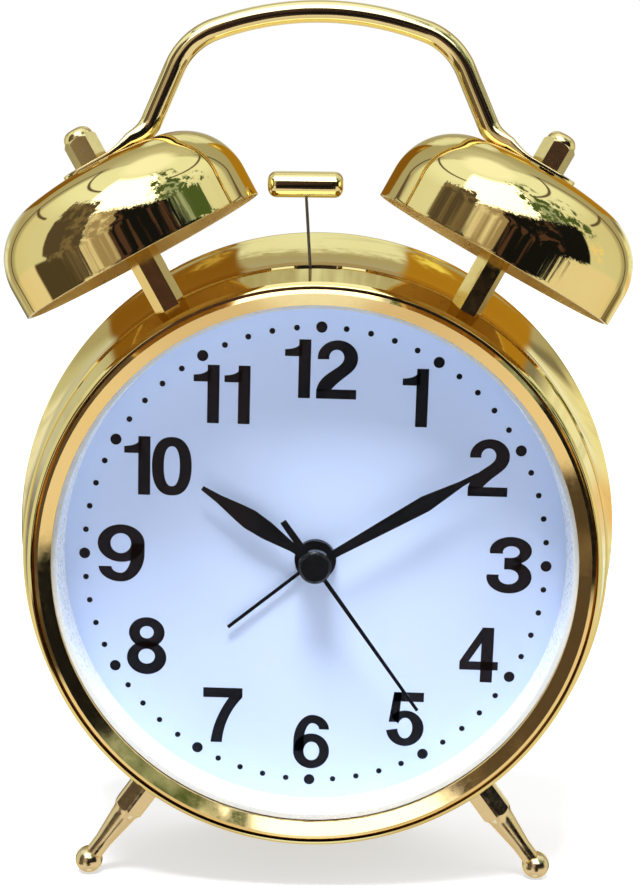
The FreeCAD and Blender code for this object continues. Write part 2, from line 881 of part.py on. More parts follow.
def movement_back():
    front = plate_front + plate_thickness
    body = tray(front, housing_rear, False)
    floor = housing_rear - housing_wall
    bosses = [rod(setting_shaft_radius + 1.2, x, z, floor - 2.5, housing_rear + 0.8)
              for x, z in (setting_place, alarm_set_place)]
    bridge_x, bridge_z = drive_place
    bosses.append(rod(1.4, bridge_x, bridge_z, floor - 1.5, floor))
    body = joined(body, *bosses)
    for x, z in (setting_place, alarm_set_place):
        body = body.cut(rod(setting_shaft_radius + running, x, z, front, housing_rear + 0.8))
    for x, z in ((0.0, 0.0), third_place, drive_place, rotor_place):
        body = body.cut(rod(second_arbor_radius + running, x, z, floor - 1.5, housing_rear - 0.4))
    return body


# wheels and tubes

cannon_front, cannon_rear = 7.7, 9.1
minute_wheel_front, minute_wheel_rear = 8.0, 8.8
hour_front, hour_rear = 6.3, 7.1
alarm_front, alarm_rear = 4.9, 5.7
centre_front, centre_rear = 10.2, 10.9
third_front, third_rear = 11.8, 12.5
second_front, second_rear = 13.4, 14.1
drive_front, drive_rear = 14.9, 15.6
rotor_front, rotor_rear = 16.0, 17.6
arbor_rear = 19.0
magnet_radius = 2.5
magnet_gap = 0.4

centre = (0.0, 0.0)
cannon_angle = 0.0
to_minute_wheel = direction(centre, minute_wheel_place)
to_setting = direction(minute_wheel_place, setting_place)
minute_angle = meshed(cannon_teeth, cannon_angle, to_minute_wheel, minute_teeth)
setting_angle = meshed(minute_teeth, minute_angle, to_setting, setting_teeth)
minute_pinion_angle = 0.0
hour_angle = meshed(minute_pinion_teeth, minute_pinion_angle, to_minute_wheel + 180, hour_teeth)
alarm_angle = 0.0
to_alarm_set = direction(centre, alarm_set_place)
alarm_set_angle = meshed(hour_teeth, alarm_angle, to_alarm_set, minute_pinion_teeth)
second_pinion_angle = 0.0
third_angle = meshed(pinion_teeth, second_pinion_angle, direction(centre, third_place), third_teeth)
third_pinion_angle = 0.0
centre_angle = meshed(pinion_teeth, third_pinion_angle, direction(third_place, centre), centre_teeth)
second_angle = 0.0
drive_pinion_angle = meshed(second_teeth, second_angle, direction(centre, drive_place), pinion_teeth)
drive_angle = 0.0
rotor_angle = meshed(drive_teeth, drive_angle, direction(drive_place, rotor_place), pinion_teeth)


def minute_tube():
    front = minute_hand_depth - hand_thickness - 0.25
    barrel = rod(minute_tube_radius, 0, 0, front, centre_rear + 0.3)
    pinion = gear(cannon_teeth, work_module, (0, 0), cannon_angle, cannon_front, cannon_rear)
    return joined(barrel, pinion).cut(rod(second_arbor_radius + running, 0, 0, front, centre_rear + 0.3))


def minute_wheel():
    place = minute_wheel_place
    wheel = gear(minute_teeth, work_module, place, minute_angle, minute_wheel_front, minute_wheel_rear)
    pinion = gear(minute_pinion_teeth, hour_module, place, minute_pinion_angle, alarm_rear + 0.25,
                  minute_wheel_front)
    return joined(wheel, pinion).cut(rod(0.7 + running, place[0], place[1], alarm_rear, minute_wheel_rear))


def hand_tube(radius, bore, front, wheel_front, wheel_rear, wheel):
    barrel = rod(radius, 0, 0, front, wheel_rear)
    return joined(barrel, wheel).cut(rod(bore + running, 0, 0, front, wheel_rear))


def hour_wheel():
    wheel = gear(hour_teeth, hour_module, (0, 0), hour_angle, hour_front, hour_rear)
    return hand_tube(hour_tube_radius, minute_tube_radius, hour_hand_depth - hand_thickness - 0.3,
                     hour_front, hour_rear, wheel)


def alarm_wheel():
    wheel = gear(hour_teeth, hour_module, (0, 0), alarm_angle, alarm_front, alarm_rear)
    return hand_tube(alarm_tube_radius, hour_tube_radius, alarm_hand_depth - hand_thickness - 0.3,
                     alarm_front, alarm_rear, wheel)


def setting_shaft(place, teeth, module, angle, front, rear):
    pinion = gear(teeth, module, place, angle, front, rear)
    shaft = rod(setting_shaft_radius, place[0], place[1], rear, knob_rear - knob_bore_stop)
    return joined(pinion, shaft)


def time_set_pinion():
    return setting_shaft(setting_place, setting_teeth, work_module, setting_angle,
                         minute_wheel_front - 0.1, minute_wheel_rear + 0.1)


def alarm_set_pinion():
    return setting_shaft(alarm_set_place, minute_pinion_teeth, hour_module, alarm_set_angle,
                         alarm_front - 0.1, alarm_rear + 0.1)


def second_wheel():
    front = cap_front + 0.5
    arbor = rod(second_arbor_radius, 0, 0, front, arbor_rear)
    pinion = gear(pinion_teeth, train_module, (0, 0), second_pinion_angle, third_front - 0.2, second_front)
    wheel = gear(second_teeth, second_module, (0, 0), second_angle, second_front, second_rear)
    return joined(arbor, pinion, wheel)


def third_wheel():
    x, z = third_place
    arbor = rod(second_arbor_radius, x, z, plate_front + 0.1, arbor_rear)
    pinion = gear(pinion_teeth, centre_module, third_place, third_pinion_angle,
                  centre_front - 0.15, third_front)
    wheel = gear(third_teeth, train_module, third_place, third_angle, third_front, third_rear)
    return joined(arbor, pinion, wheel)


def centre_wheel():
    return gear(centre_teeth, centre_module, (0, 0), centre_angle, centre_front, centre_rear,
                minute_tube_radius + running)


def drive_wheel():
    x, z = drive_place
    arbor = rod(second_arbor_radius, x, z, centre_rear + 0.3, arbor_rear)
    pinion = gear(pinion_teeth, second_module, drive_place, drive_pinion_angle,
                  second_front - 0.2, drive_front)
    wheel = gear(drive_teeth, train_module, drive_place, drive_angle, drive_front, drive_rear)
    return joined(arbor, pinion, wheel)


def rotor():
    x, z = rotor_place
    arbor = rod(second_arbor_radius, x, z, plate_front + 0.1, arbor_rear)
    pinion = gear(pinion_teeth, train_module, rotor_place, rotor_angle, drive_front - 0.2, drive_rear + 0.2)
    magnet = rod(magnet_radius, x, z, rotor_front, rotor_rear)
    return joined(arbor, pinion, magnet)


# stepping motor and circuit

coil_offset = 11.2
coil_half_length = 3.8
coil_radius = 1.7
limb_width = 1.6
stator_thickness = 0.9


def stator():
    x, z = rotor_place
    front = (rotor_front + rotor_rear - stator_thickness) / 2
    rear = front + stator_thickness
    half = 4.6
    left = x - half
    right = x + coil_offset + limb_width / 2
    frame = block(left, right, front, rear, z - half, z + half)
    window = block(x + half, x + coil_offset - limb_width / 2, front, rear,
                   z - coil_half_length - 0.1, z + coil_half_length + 0.1)
    return frame.cut(window).cut(rod(magnet_radius + magnet_gap, x, z, front, rear))


def coil():
    x = rotor_place[0] + coil_offset
    z = rotor_place[1]
    y = (rotor_front + rotor_rear) / 2
    half = coil_half_length
    winding = Part.makeCylinder(coil_radius, 2 * half - 1.2, vec(x, y, z - half + 0.6))
    flanges = [block(x - coil_radius, x + coil_radius, y - coil_radius, y + coil_radius, low, low + 0.6)
               for low in (z - half, z + half - 0.6)]
    hole = block(x - limb_width / 2, x + limb_width / 2, y - stator_thickness / 2, y + stator_thickness / 2,
                 z - half, z + half)
    return joined(winding, *flanges).cut(hole)


board_box = (11.0, 25.5, 4.0, 21.5)


def circuit_board():
    x0, x1, z0, z1 = board_box
    rear = housing_rear - housing_wall
    front = rear - 0.8
    board = block(x0, x1, front, rear, z0, z1)
    chip = rod(2.4, (x0 + x1) / 2 - 2, z0 + 5, front - 0.9, front)
    return joined(board, chip)


def quartz_crystal():
    x0, x1, z0, z1 = board_box
    radius = 1.0
    front = housing_rear - housing_wall - 0.8
    can = Part.makeCylinder(radius, 6, vec(x1 - 3, front - radius, z1 - 9))
    return can


# hands: flat blades with a round hub, made pointing up and turned to the time

def blade(widths, depth, hub_radius, bore, angle, round_tip=0.0):
    # widths lists distance from the axis and half width, from the tail to the tip.
    left = [(-half, reach) for reach, half in widths]
    right = [(half, reach) for reach, half in reversed(widths)]
    shape = flat(left + right, depth - hand_thickness, depth)
    shape = shape.fuse(rod(hub_radius, 0, 0, depth - hand_thickness, depth)).removeSplitter()
    shape = shape.cut(rod(bore, 0, 0, depth - hand_thickness, depth))
    shape.rotate(origin, along_y, angle)
    return shape


fit = 0.02


def alarm_hand():
    widths = [(0, alarm_hand_half_width), (alarm_hand_length, alarm_hand_half_width)]
    return blade(widths, alarm_hand_depth, hub_disc_radius, alarm_tube_radius + fit, alarm_hand_angle)


def hour_hand():
    tip = hour_hand_length
    widths = [(0, 0.75), (5.0, 0.8), (tip * 0.43, 1.75), (tip * 0.58, hour_hand_half_width),
              (tip * 0.68, 1.6), (tip * 0.85, 0.8), (tip, 0.42)]
    return blade(widths, hour_hand_depth, cap_radius, hour_tube_radius + fit, hour_hand_angle)


def minute_hand():
    tip = minute_hand_length
    widths = [(0, 0.75), (5.0, 0.8), (tip * 0.45, 1.25), (tip * 0.68, minute_hand_half_width),
              (tip * 0.78, 1.1), (tip * 0.90, 0.55), (tip, 0.4)]
    return blade(widths, minute_hand_depth, cap_radius - 0.5, minute_tube_radius + fit, minute_hand_angle)


def second_hand():
    widths = [(-second_tail_length, 0.6), (-3.0, 0.7), (0, 0.42), (second_hand_length, 0.3)]
    plate = blade(widths, second_hand_depth, cap_radius, second_arbor_radius + fit, second_hand_angle)
    edge = 0.5
    bore = second_arbor_radius + fit
    rear = second_hand_depth + 0.5
    cap = turned((bore, rear), (bore, cap_front + 0.4), (0, cap_front + 0.4), (0, cap_front),
                 (cap_radius - edge, cap_front), (cap_radius, cap_front + edge), (cap_radius, rear))
    return joined(plate, cap)


# back cover, lid, cells and contacts

bay_height = 4 * cell_radius + 3 * cell_gap
bay_low = bay_top - bay_wall - bay_height
cell_middle = cover_face - lid_wall - 3 * cell_gap - cell_radius
bay_floor = cell_middle - cell_radius - cell_gap
bay_half = cell_length / 2 + contact_room


def cell_height(row):
    return bay_top - bay_wall - cell_gap - cell_radius - row * (2 * cell_radius + cell_gap)


def back_cover():
    inner = cover_face - cover_wall
    rim = cover_rim_radius
    flange = rim + cover_flange_width
    bead = case_rear + cover_flange
    disc = turned((0, inner), (rim, inner), (rim, case_rear), (flange, case_rear),
                  (flange, bead - cover_edge), (flange - cover_edge, bead),
                  (rim - cover_rim_width, bead), (rim - cover_rim_width - cover_edge, cover_face),
                  (0, cover_face))
    outer_low = bay_low - bay_wall
    bay_side = bay_half + bay_wall
    bay = block(-bay_side, bay_side, bay_floor - bay_wall, inner + 0.5, outer_low, bay_top)
    leg_top = outer_low - leg_top_gap
    leg_rear = case_rear + leg_gap + leg_depth
    web_low = -rim + 2
    leg = block(-leg_width / 2, leg_width / 2, cover_face - 1, leg_rear, web_low, leg_top)
    post = block(-leg_width / 2, leg_width / 2, leg_rear - leg_depth, leg_rear, -dial_height, web_low)
    leg = leg.fuse(post).removeSplitter()
    leg_half = leg_width / 2 - leg_wall
    hollow = block(-leg_half, leg_half, case_rear + leg_gap, leg_rear - leg_wall,
                   -dial_height + leg_wall, web_low - 1)
    leg = leg.cut(hollow)
    body = joined(disc, bay, leg)
    body = body.cut(block(-bay_half, bay_half, bay_floor, cover_face, bay_low, bay_top - bay_wall))
    for x, z in pillar_places:
        body = body.cut(rod(cover_screw_radius + hole_clearance, x, z, inner, cover_face))
    for x, z in (setting_place, alarm_set_place):
        body = body.cut(rod(setting_shaft_radius + hole_clearance, x, z, inner, cover_face))
    x, z = switch_place
    reach = switch_width / 2 + switch_travel / 2
    reach = reach + switch_clearance
    rise = switch_width / 2 + switch_clearance
    body = body.cut(block(x - reach, x + reach, inner, cover_face, z - rise, z + rise))
    return body


def battery_lid():
    # The lower edge is rounded about the line that the lid turns on.
    half = bay_half - lid_clearance
    front = cover_face - lid_wall
    hinge = bay_low + lid_clearance + lid_wall / 2
    top = bay_top - bay_wall - lid_clearance
    plate = block(-half, half, front, cover_face, hinge, top)
    edge = Part.makeCylinder(lid_wall / 2, 2 * half, vec(-half, cover_face - lid_wall / 2, hinge), along_x)
    grip = []
    for k in range(4):
        z = top - grip_pitch * (k + 2)
        grip.append(block(-grip_length / 2, grip_length / 2, cover_face - grip_rise, cover_face + grip_rise,
                          z - grip_rise, z + grip_rise))
    return joined(plate, edge, *grip)


def battery_cells():
    # Two cells side by side, each with its raised positive cap.
    cells = []
    half = cell_length / 2
    for row, side in ((0, 1), (1, -1)):
        z = cell_height(row)
        way = vec(side, 0, 0)
        end = vec(-side * half, cell_middle, z)
        body = Part.makeCylinder(cell_radius, cell_length - cell_cap_height, end, way)
        cap_seat = vec(side * (half - cell_cap_height), cell_middle, z)
        cells.append(joined(body, Part.makeCylinder(cell_cap_radius, cell_cap_height, cap_seat, way)))
    return Part.makeCompound(cells)


def battery_contacts():
    # Plates at both ends of the bay, each with a bowed leaf that presses on the cells.
    contacts = []
    inner = bay_half - contact_thickness
    reach = inner - cell_length / 2 - contact_gap
    half = contact_width / 2
    z_low = bay_low + bay_wall
    z_high = bay_top - 2 * bay_wall
    for side in (-1, 1):
        x0, x1 = sorted((side * inner, side * bay_half))
        contact = block(x0, x1, cell_middle - half, cell_middle + half, z_low, z_high)
        for row in range(2):
            seat = vec(side * inner, cell_middle, cell_height(row))
            contact = contact.fuse(Part.makeCone(half * 0.6, half * 0.3, reach, seat, vec(-side, 0, 0)))
        contacts.append(contact.removeSplitter())
    return Part.makeCompound(contacts)


def cover_screws():
    screws = []
    top = cover_face + small_head_height
    low = top - cross_depth
    reach = screw_head_radius * 0.62
    for x, z in pillar_places:
        shank = rod(cover_screw_radius, x, z, cover_face - cover_wall - screw_length, cover_face)
        head = rod(screw_head_radius, x, z, cover_face, top)
        cross = block(x - reach, x + reach, low, top, z - cross_width / 2, z + cross_width / 2)
        cross = cross.fuse(block(x - cross_width / 2, x + cross_width / 2, low, top, z - reach, z + reach))
        screws.append(joined(shank, head).cut(cross))
    return Part.makeCompound(screws)


def movement_screws():
    screws = []
    face = housing_front + ear_thickness
    for side in (-1, 1):
        x, z = side * ear_place(), ear_middle()
        shank = rod(cover_screw_radius, x, z, dial_thickness + running, face)
        head = rod(screw_head_radius, x, z, face, face + small_head_height)
        screws.append(joined(shank, head))
    return Part.makeCompound(screws)


# knobs and switch

def knob(place):
    # A skirted knob with a fluted grip, bored for its shaft.
    x, z = place
    grip = knob_grip_radius
    skirt = knob_front + knob_skirt
    neck = skirt + knob_bevel
    body = turned((0, knob_front), (knob_radius, knob_front), (knob_radius, skirt), (grip, neck),
                  (grip, knob_rear - knob_edge), (grip - knob_edge, knob_rear), (0, knob_rear))
    for k in range(knob_flutes):
        fx, fz = polar(grip + knob_flute * 0.35, k * 360.0 / knob_flutes)
        body = body.cut(rod(knob_flute, fx, fz, neck, knob_rear))
    body = body.cut(rod(setting_shaft_radius + fit, 0, 0, knob_front, knob_rear - knob_bore_stop))
    body.translate(vec(x, 0, z))
    return body


def alarm_switch():
    x, z = switch_place
    half = switch_width / 2
    x = x - switch_travel / 2
    inner = cover_face - cover_wall
    seat = inner - switch_clearance
    wide = half + switch_skirt
    top = cover_face + switch_rise
    stem = block(x - half, x + half, seat, top, z - half, z + half)
    flange = block(x - wide, x + wide, seat - switch_flange, seat, z - wide, z + wide)
    ribs = []
    for k in (-1, 0, 1):
        middle = x + k * switch_rib_pitch
        ribs.append(block(middle - switch_rib / 2, middle + switch_rib / 2, top - switch_clearance,
                          top + switch_rib_rise, z - half, z + half))
    return joined(stem, flange, *ribs)


def switch_housing():
    x, z = switch_place
    half = switch_width / 2 + 1.2
    reach = half + switch_travel / 2
    wall = 1.0
    rear = cover_face - cover_wall
    depth = 5.0
    box = block(x - reach - wall, x + reach + wall, rear - depth, rear, z - half - wall, z + half + wall)
    return box.cut(block(x - reach, x + reach, rear - depth + wall, rear, z - half, z + half))


def main():
    os.makedirs("parts", exist_ok=True)
    outer = case_body(0)
    cavity = case_body(case_wall)
    save("case_shell", case_shell())
    save("bezel_ring", bezel_ring())
    save("lens", lens())
    save("inner_ring", inner_ring())
    save("dial_plate", dial_plate())
    save("chassis", chassis())
    save("back_cover", back_cover())
    save("cover_screws", cover_screws())
    save("battery_lid", battery_lid())
    save("battery_cells", battery_cells())
    save("battery_contacts", battery_contacts())
    post_screws = []
    foot_nuts = []
    shank, head = post_screw()
    for side, word in ((-1, "left"), (1, "right")):
        save("bell_" + word, on_bell_axis(bell(), side))
        save("bell_post_" + word, on_bell_axis(bell_post(), side).cut(outer))
        save("acorn_nut_" + word, on_bell_axis(acorn_nut(), side))
        seated = on_bell_axis(head, side).common(cavity)
        post_screws.append(seated.fuse(on_bell_axis(shank, side)).removeSplitter())
        placed_foot = on_foot_axis(foot(), side).cut(outer)
        save("foot_" + word, placed_foot.fuse(on_foot_axis(foot_stud(), side)).removeSplitter())
        foot_nuts.append(on_foot_axis(foot_nut(), side).common(cavity))
    save("post_screws", Part.makeCompound(post_screws))
    save("foot_nuts", Part.makeCompound(foot_nuts))
    save("handle", handle())
    save("hammer_head", hammer_head())
    save("hammer_wire", hammer_wire())
    save("hammer_lever", hammer_lever())
    save("hammer_pivot_pin", hammer_pivot_pin())
    save("hammer_motor", hammer_motor())
    save("motor_cam", motor_cam())
    save("movement_front", movement_front())
    save("middle_plate", middle_plate())
    save("movement_back", movement_back())
    save("movement_screws", movement_screws())
    save("minute_tube", minute_tube())
    save("minute_wheel", minute_wheel())
    save("hour_wheel", hour_wheel())
    save("alarm_wheel", alarm_wheel())
    save("time_set_pinion", time_set_pinion())
    save("alarm_set_pinion", alarm_set_pinion())
    save("second_wheel", second_wheel())
    save("third_wheel", third_wheel())
    save("centre_wheel", centre_wheel())
    save("drive_wheel", drive_wheel())
    save("rotor", rotor())
    save("stator", stator())
    save("coil", coil())
    save("circuit_board", circuit_board())
    save("quartz_crystal", quartz_crystal())
    save("alarm_hand", alarm_hand())
    save("hour_hand", hour_hand())
    save("minute_hand", minute_hand())
    save("second_hand", second_hand())
    save("time_knob", knob(setting_place))
    save("alarm_knob", knob(alarm_set_place))
    save("alarm_switch", alarm_switch())
    save("switch_housing", switch_housing())


main()
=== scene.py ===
import math
import bmesh
import bpy
import numpy as np
from mathutils import Matrix, Vector


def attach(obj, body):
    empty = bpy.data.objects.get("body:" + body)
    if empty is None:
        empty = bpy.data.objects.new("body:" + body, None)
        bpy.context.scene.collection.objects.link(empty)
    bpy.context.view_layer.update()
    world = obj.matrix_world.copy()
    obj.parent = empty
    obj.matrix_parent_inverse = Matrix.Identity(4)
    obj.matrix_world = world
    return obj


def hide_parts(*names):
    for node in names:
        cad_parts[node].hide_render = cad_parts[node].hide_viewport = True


# Looks of a twin-bell alarm clock: gold plate, a printed dial behind a lens, dark plastic behind.
# Lengths in the dictionaries of the pieces are in millimetres; the scene is in metres.

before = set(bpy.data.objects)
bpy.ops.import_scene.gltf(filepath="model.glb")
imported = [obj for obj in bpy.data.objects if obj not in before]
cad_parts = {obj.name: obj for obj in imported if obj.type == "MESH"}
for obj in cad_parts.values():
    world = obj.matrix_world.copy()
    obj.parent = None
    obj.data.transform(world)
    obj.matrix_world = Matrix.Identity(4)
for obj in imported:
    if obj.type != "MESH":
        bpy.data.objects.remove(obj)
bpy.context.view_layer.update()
mm = 0.001
dialDepth = -4.65  # where the dial's face and the hands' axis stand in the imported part
dialHeight = 62.645
backSet = -3.2  # bells, posts, feet and handle stand in one plane, this far before the dial's face
print("frame loaded:", len(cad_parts), "nodes")


def startMaterial(name):
    finish = bpy.data.materials.new(name)
    finish.use_nodes = True
    return finish, finish.node_tree, finish.node_tree.nodes["Principled BSDF"]


def objectSpace(tree, stretch=(1, 1, 1)):
    where = tree.nodes.new("ShaderNodeTexCoord")
    place = tree.nodes.new("ShaderNodeMapping")
    place.inputs["Scale"].default_value = stretch
    tree.links.new(where.outputs["Object"], place.inputs["Vector"])
    return place.outputs["Vector"]


def noiseOf(tree, vector, scale, detail=3.0, rough=0.5):
    noise = tree.nodes.new("ShaderNodeTexNoise")
    noise.inputs["Scale"].default_value = scale
    noise.inputs["Detail"].default_value = detail
    noise.inputs["Roughness"].default_value = rough
    tree.links.new(vector, noise.inputs["Vector"])
    return noise.outputs["Fac"]


def spread(tree, value, low, high, fromLow=0.3, fromHigh=0.7):
    # the middle of the value's range, drawn out to run from low to high
    ranged = tree.nodes.new("ShaderNodeMapRange")
    ranged.inputs["From Min"].default_value = fromLow
    ranged.inputs["From Max"].default_value = fromHigh
    ranged.inputs["To Min"].default_value = low
    ranged.inputs["To Max"].default_value = high
    tree.links.new(value, ranged.inputs["Value"])
    return ranged.outputs["Result"]


def paintOver(tree, factor, under, over):
    # each colour is a socket or three numbers; over covers under by factor
    mix = tree.nodes.new("ShaderNodeMix")
    mix.data_type = "RGBA"
    tree.links.new(factor, mix.inputs["Factor"])
    for socket, colour in ((mix.inputs["A"], under), (mix.inputs["B"], over)):
        if isinstance(colour, tuple):
            socket.default_value = (*colour, 1)
        else:
            tree.links.new(colour, socket)
    return mix.outputs["Result"]


def clouded(tree, shader, cloud, first, second):
    # the base colour drifts between two close colours
    tint = paintOver(tree, spread(tree, cloud, 0, 1), first, second)
    tree.links.new(tint, shader.inputs["Base Color"])


def polished(tree, shader, skin, low, high):
    tree.links.new(spread(tree, skin, low, high), shader.inputs["Roughness"])


def raiseBump(tree, shader, layers):
    # layers: (height socket, depth in mm, strength), the coarsest first
    normal = None
    for height, depth, strength in layers:
        bump = tree.nodes.new("ShaderNodeBump")
        bump.inputs["Strength"].default_value = strength
        bump.inputs["Distance"].default_value = depth * mm
        tree.links.new(height, bump.inputs["Height"])
        if normal:
            tree.links.new(normal, bump.inputs["Normal"])
        normal = bump.outputs["Normal"]
    tree.links.new(normal, shader.inputs["Normal"])


goldSkin = {
    "slantTint": (0.92, 0.80, 0.55, 1),  # the tint kept at a slant
    "hazeScale": 70,
    "wearScale": 900,
    "wearDepth": 0.004,
    "rippleScale": 45,
}
plasticSkin = {"cloudScale": 90, "grainScale": 1500}
dialSheet = {
    "white": (0.57, 0.70, 0.99),
    "shade": (0.54, 0.67, 0.98),
    "cloudScale": 25,
    "toothScale": 4000,
    "toothDepth": 0.01,
}
inkFilm = {
    "black": (0.004, 0.004, 0.006),
    "thin": (0.009, 0.009, 0.013),
    "coverScale": 1800,
    "gloss": 0.12,  # a dry, flat ink
}


def goldPlate(name, light, deep, polish, ripple):
    # plated steel: two close golds, a soft pressed ripple, fine polishing lines, faint haze
    g = goldSkin
    finish, tree, shader = startMaterial(name)
    shader.inputs["Metallic"].default_value = 1.0
    shader.inputs["Specular Tint"].default_value = g["slantTint"]
    space = objectSpace(tree)
    clouded(tree, shader, noiseOf(tree, space, g["hazeScale"], 4), light, deep)
    wear = noiseOf(tree, space, g["wearScale"], 2)
    polished(tree, shader, wear, polish * 0.7, polish * 1.5)
    raiseBump(tree, shader, [(noiseOf(tree, space, g["rippleScale"], 1), ripple, 1.0),
                             (wear, g["wearDepth"], 0.25)])
    return finish


def mouldedPlastic(name, colour, shade, polish, grain, gloss=0.5):
    # a moulded skin: fine grain in the surface, slightly uneven colour and gloss
    finish, tree, shader = startMaterial(name)
    space = objectSpace(tree)
    clouded(tree, shader, noiseOf(tree, space, plasticSkin["cloudScale"], 3), colour, shade)
    skin = noiseOf(tree, space, plasticSkin["grainScale"], 2)
    polished(tree, shader, skin, polish * 0.8, polish * 1.2)
    shader.inputs["Specular IOR Level"].default_value = gloss
    raiseBump(tree, shader, [(skin, grain, 0.6)])
    return finish


def brushedMetal(name, colour, shade, polish, stretch=(1, 1, 12), lineScale=300):
    # drawn or ground metal: long fine lines along one direction
    finish, tree, shader = startMaterial(name)
    shader.inputs["Metallic"].default_value = 1.0
    streak = noiseOf(tree, objectSpace(tree, stretch), lineScale, 3)
    clouded(tree, shader, streak, colour, shade)
    polished(tree, shader, streak, polish * 0.7, polish * 1.3)
    raiseBump(tree, shader, [(streak, 0.01, 0.3)])
    return finish


def clearLens():
    finish, tree, shader = startMaterial("clearLens")
    shader.inputs["Base Color"].default_value = (1, 1, 1, 1)
    shader.inputs["Transmission Weight"].default_value = 1.0
    shader.inputs["IOR"].default_value = 1.46
    polished(tree, shader, noiseOf(tree, objectSpace(tree), 40, 5), 0.0, 0.02)
    return finish


def dialPaint():
    # satin white with a cool tint, brushed on a thin sheet
    d = dialSheet
    finish, tree, shader = startMaterial("dialPaint")
    space = objectSpace(tree)
    clouded(tree, shader, noiseOf(tree, space, d["cloudScale"], 2), d["white"], d["shade"])
    tooth = noiseOf(tree, space, d["toothScale"], 2)
    polished(tree, shader, tooth, 0.42, 0.55)
    raiseBump(tree, shader, [(tooth, d["toothDepth"], 0.3)])
    return finish


def printedInk():
    finish, tree, shader = startMaterial("printedInk")
    cover = noiseOf(tree, objectSpace(tree), inkFilm["coverScale"], 3)
    clouded(tree, shader, cover, inkFilm["black"], inkFilm["thin"])
    polished(tree, shader, cover, 0.5, 0.7)
    shader.inputs["Specular IOR Level"].default_value = inkFilm["gloss"]
    return finish


# Each list is for one kind of finish, under the name of its slot. Gold: light and deep tint,
# roughness, depth of the ripple in mm
golds = {
    "gold_case": ((0.88, 0.70, 0.32), (0.84, 0.66, 0.28), 0.05, 0.02),
    "gold_bezel": ((0.93, 0.67, 0.31), (0.90, 0.63, 0.27), 0.09, 0.01),
    "gold_bells": ((0.87, 0.69, 0.32), (0.83, 0.65, 0.28), 0.03, 0.015),
    "gold_posts": ((0.84, 0.64, 0.28), (0.79, 0.59, 0.24), 0.10, 0.01),
    "gold_nuts": ((0.86, 0.69, 0.34), (0.81, 0.64, 0.30), 0.12, 0.01),
    "gold_handle": ((0.88, 0.72, 0.38), (0.84, 0.67, 0.33), 0.06, 0.01),
    "gold_feet": ((0.82, 0.64, 0.38), (0.77, 0.59, 0.34), 0.18, 0.004),
    "gold_hammer": ((0.88, 0.72, 0.36), (0.83, 0.67, 0.32), 0.06, 0.01),
}
# Plastic: colour, shade, roughness, depth of the grain in mm and, for the hands, the gloss
plastics = {
    "white_ring": ((0.86, 0.92, 0.97), (0.82, 0.88, 0.94), 0.3, 0.004),
    "dark_plastic": ((0.012, 0.012, 0.013), (0.02, 0.02, 0.021), 0.42, 0.02),
    "cover_plastic": ((0.016, 0.016, 0.017), (0.024, 0.024, 0.025), 0.45, 0.03),
    "lid_plastic": ((0.016, 0.016, 0.017), (0.024, 0.024, 0.025), 0.4, 0.03),
    "knob_plastic": ((0.010, 0.010, 0.011), (0.016, 0.016, 0.017), 0.3, 0.01),
    "switch_plastic": ((0.55, 0.03, 0.02), (0.48, 0.025, 0.02), 0.3, 0.01),
    "hand_black": ((0.004, 0.004, 0.005), (0.008, 0.008, 0.009), 0.16, 0.002, 0.3),
    "gear_white": ((0.72, 0.71, 0.66), (0.66, 0.65, 0.60), 0.4, 0.01),
    "gear_red": ((0.50, 0.05, 0.03), (0.42, 0.04, 0.025), 0.4, 0.01),
    "cell_sleeve": ((0.03, 0.10, 0.22), (0.025, 0.08, 0.18), 0.25, 0.004),
    "board_green": ((0.02, 0.16, 0.06), (0.015, 0.12, 0.045), 0.35, 0.01),
}
# Bare metal: colour, shade, roughness and, where the lines run otherwise, their stretch and scale
metals = {
    "steel_wire": ((0.30, 0.29, 0.27), (0.26, 0.25, 0.24), 0.35, (1, 1, 0.2), 900),
    "steel_screws": ((0.60, 0.59, 0.57), (0.52, 0.51, 0.49), 0.28),
    "motor_steel": ((0.56, 0.56, 0.55), (0.48, 0.48, 0.47), 0.32),
    "copper_coil": ((0.72, 0.30, 0.14), (0.60, 0.22, 0.09), 0.3, (12, 1, 1), 500),
    "stator_steel": ((0.45, 0.45, 0.45), (0.38, 0.38, 0.38), 0.4),
    "contact_steel": ((0.66, 0.65, 0.62), (0.58, 0.57, 0.54), 0.25),
    "crystal_can": ((0.70, 0.69, 0.66), (0.62, 0.61, 0.58), 0.22),
}
finishes = {"clear_lens": clearLens(), "white_dial": dialPaint()}
for make, looks in ((goldPlate, golds), (mouldedPlastic, plastics), (brushedMetal, metals)):
    for slotName, look in looks.items():
        kind, part = slotName.split("_")
        finishes[slotName] = make(kind + part.title(), *look)
bellInside = goldPlate("bellInside", (0.97, 0.74, 0.32), (0.92, 0.68, 0.26), 0.38, 0.02)
bellInside.node_tree.nodes["Principled BSDF"].inputs["Metallic"].default_value = 0.75  # unpolished
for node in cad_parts.values():
    for place in node.material_slots:
        slotName = place.material.name.split(".")[0]
        if slotName in finishes:
            place.material = finishes[slotName]
print("finishes:", len(finishes))


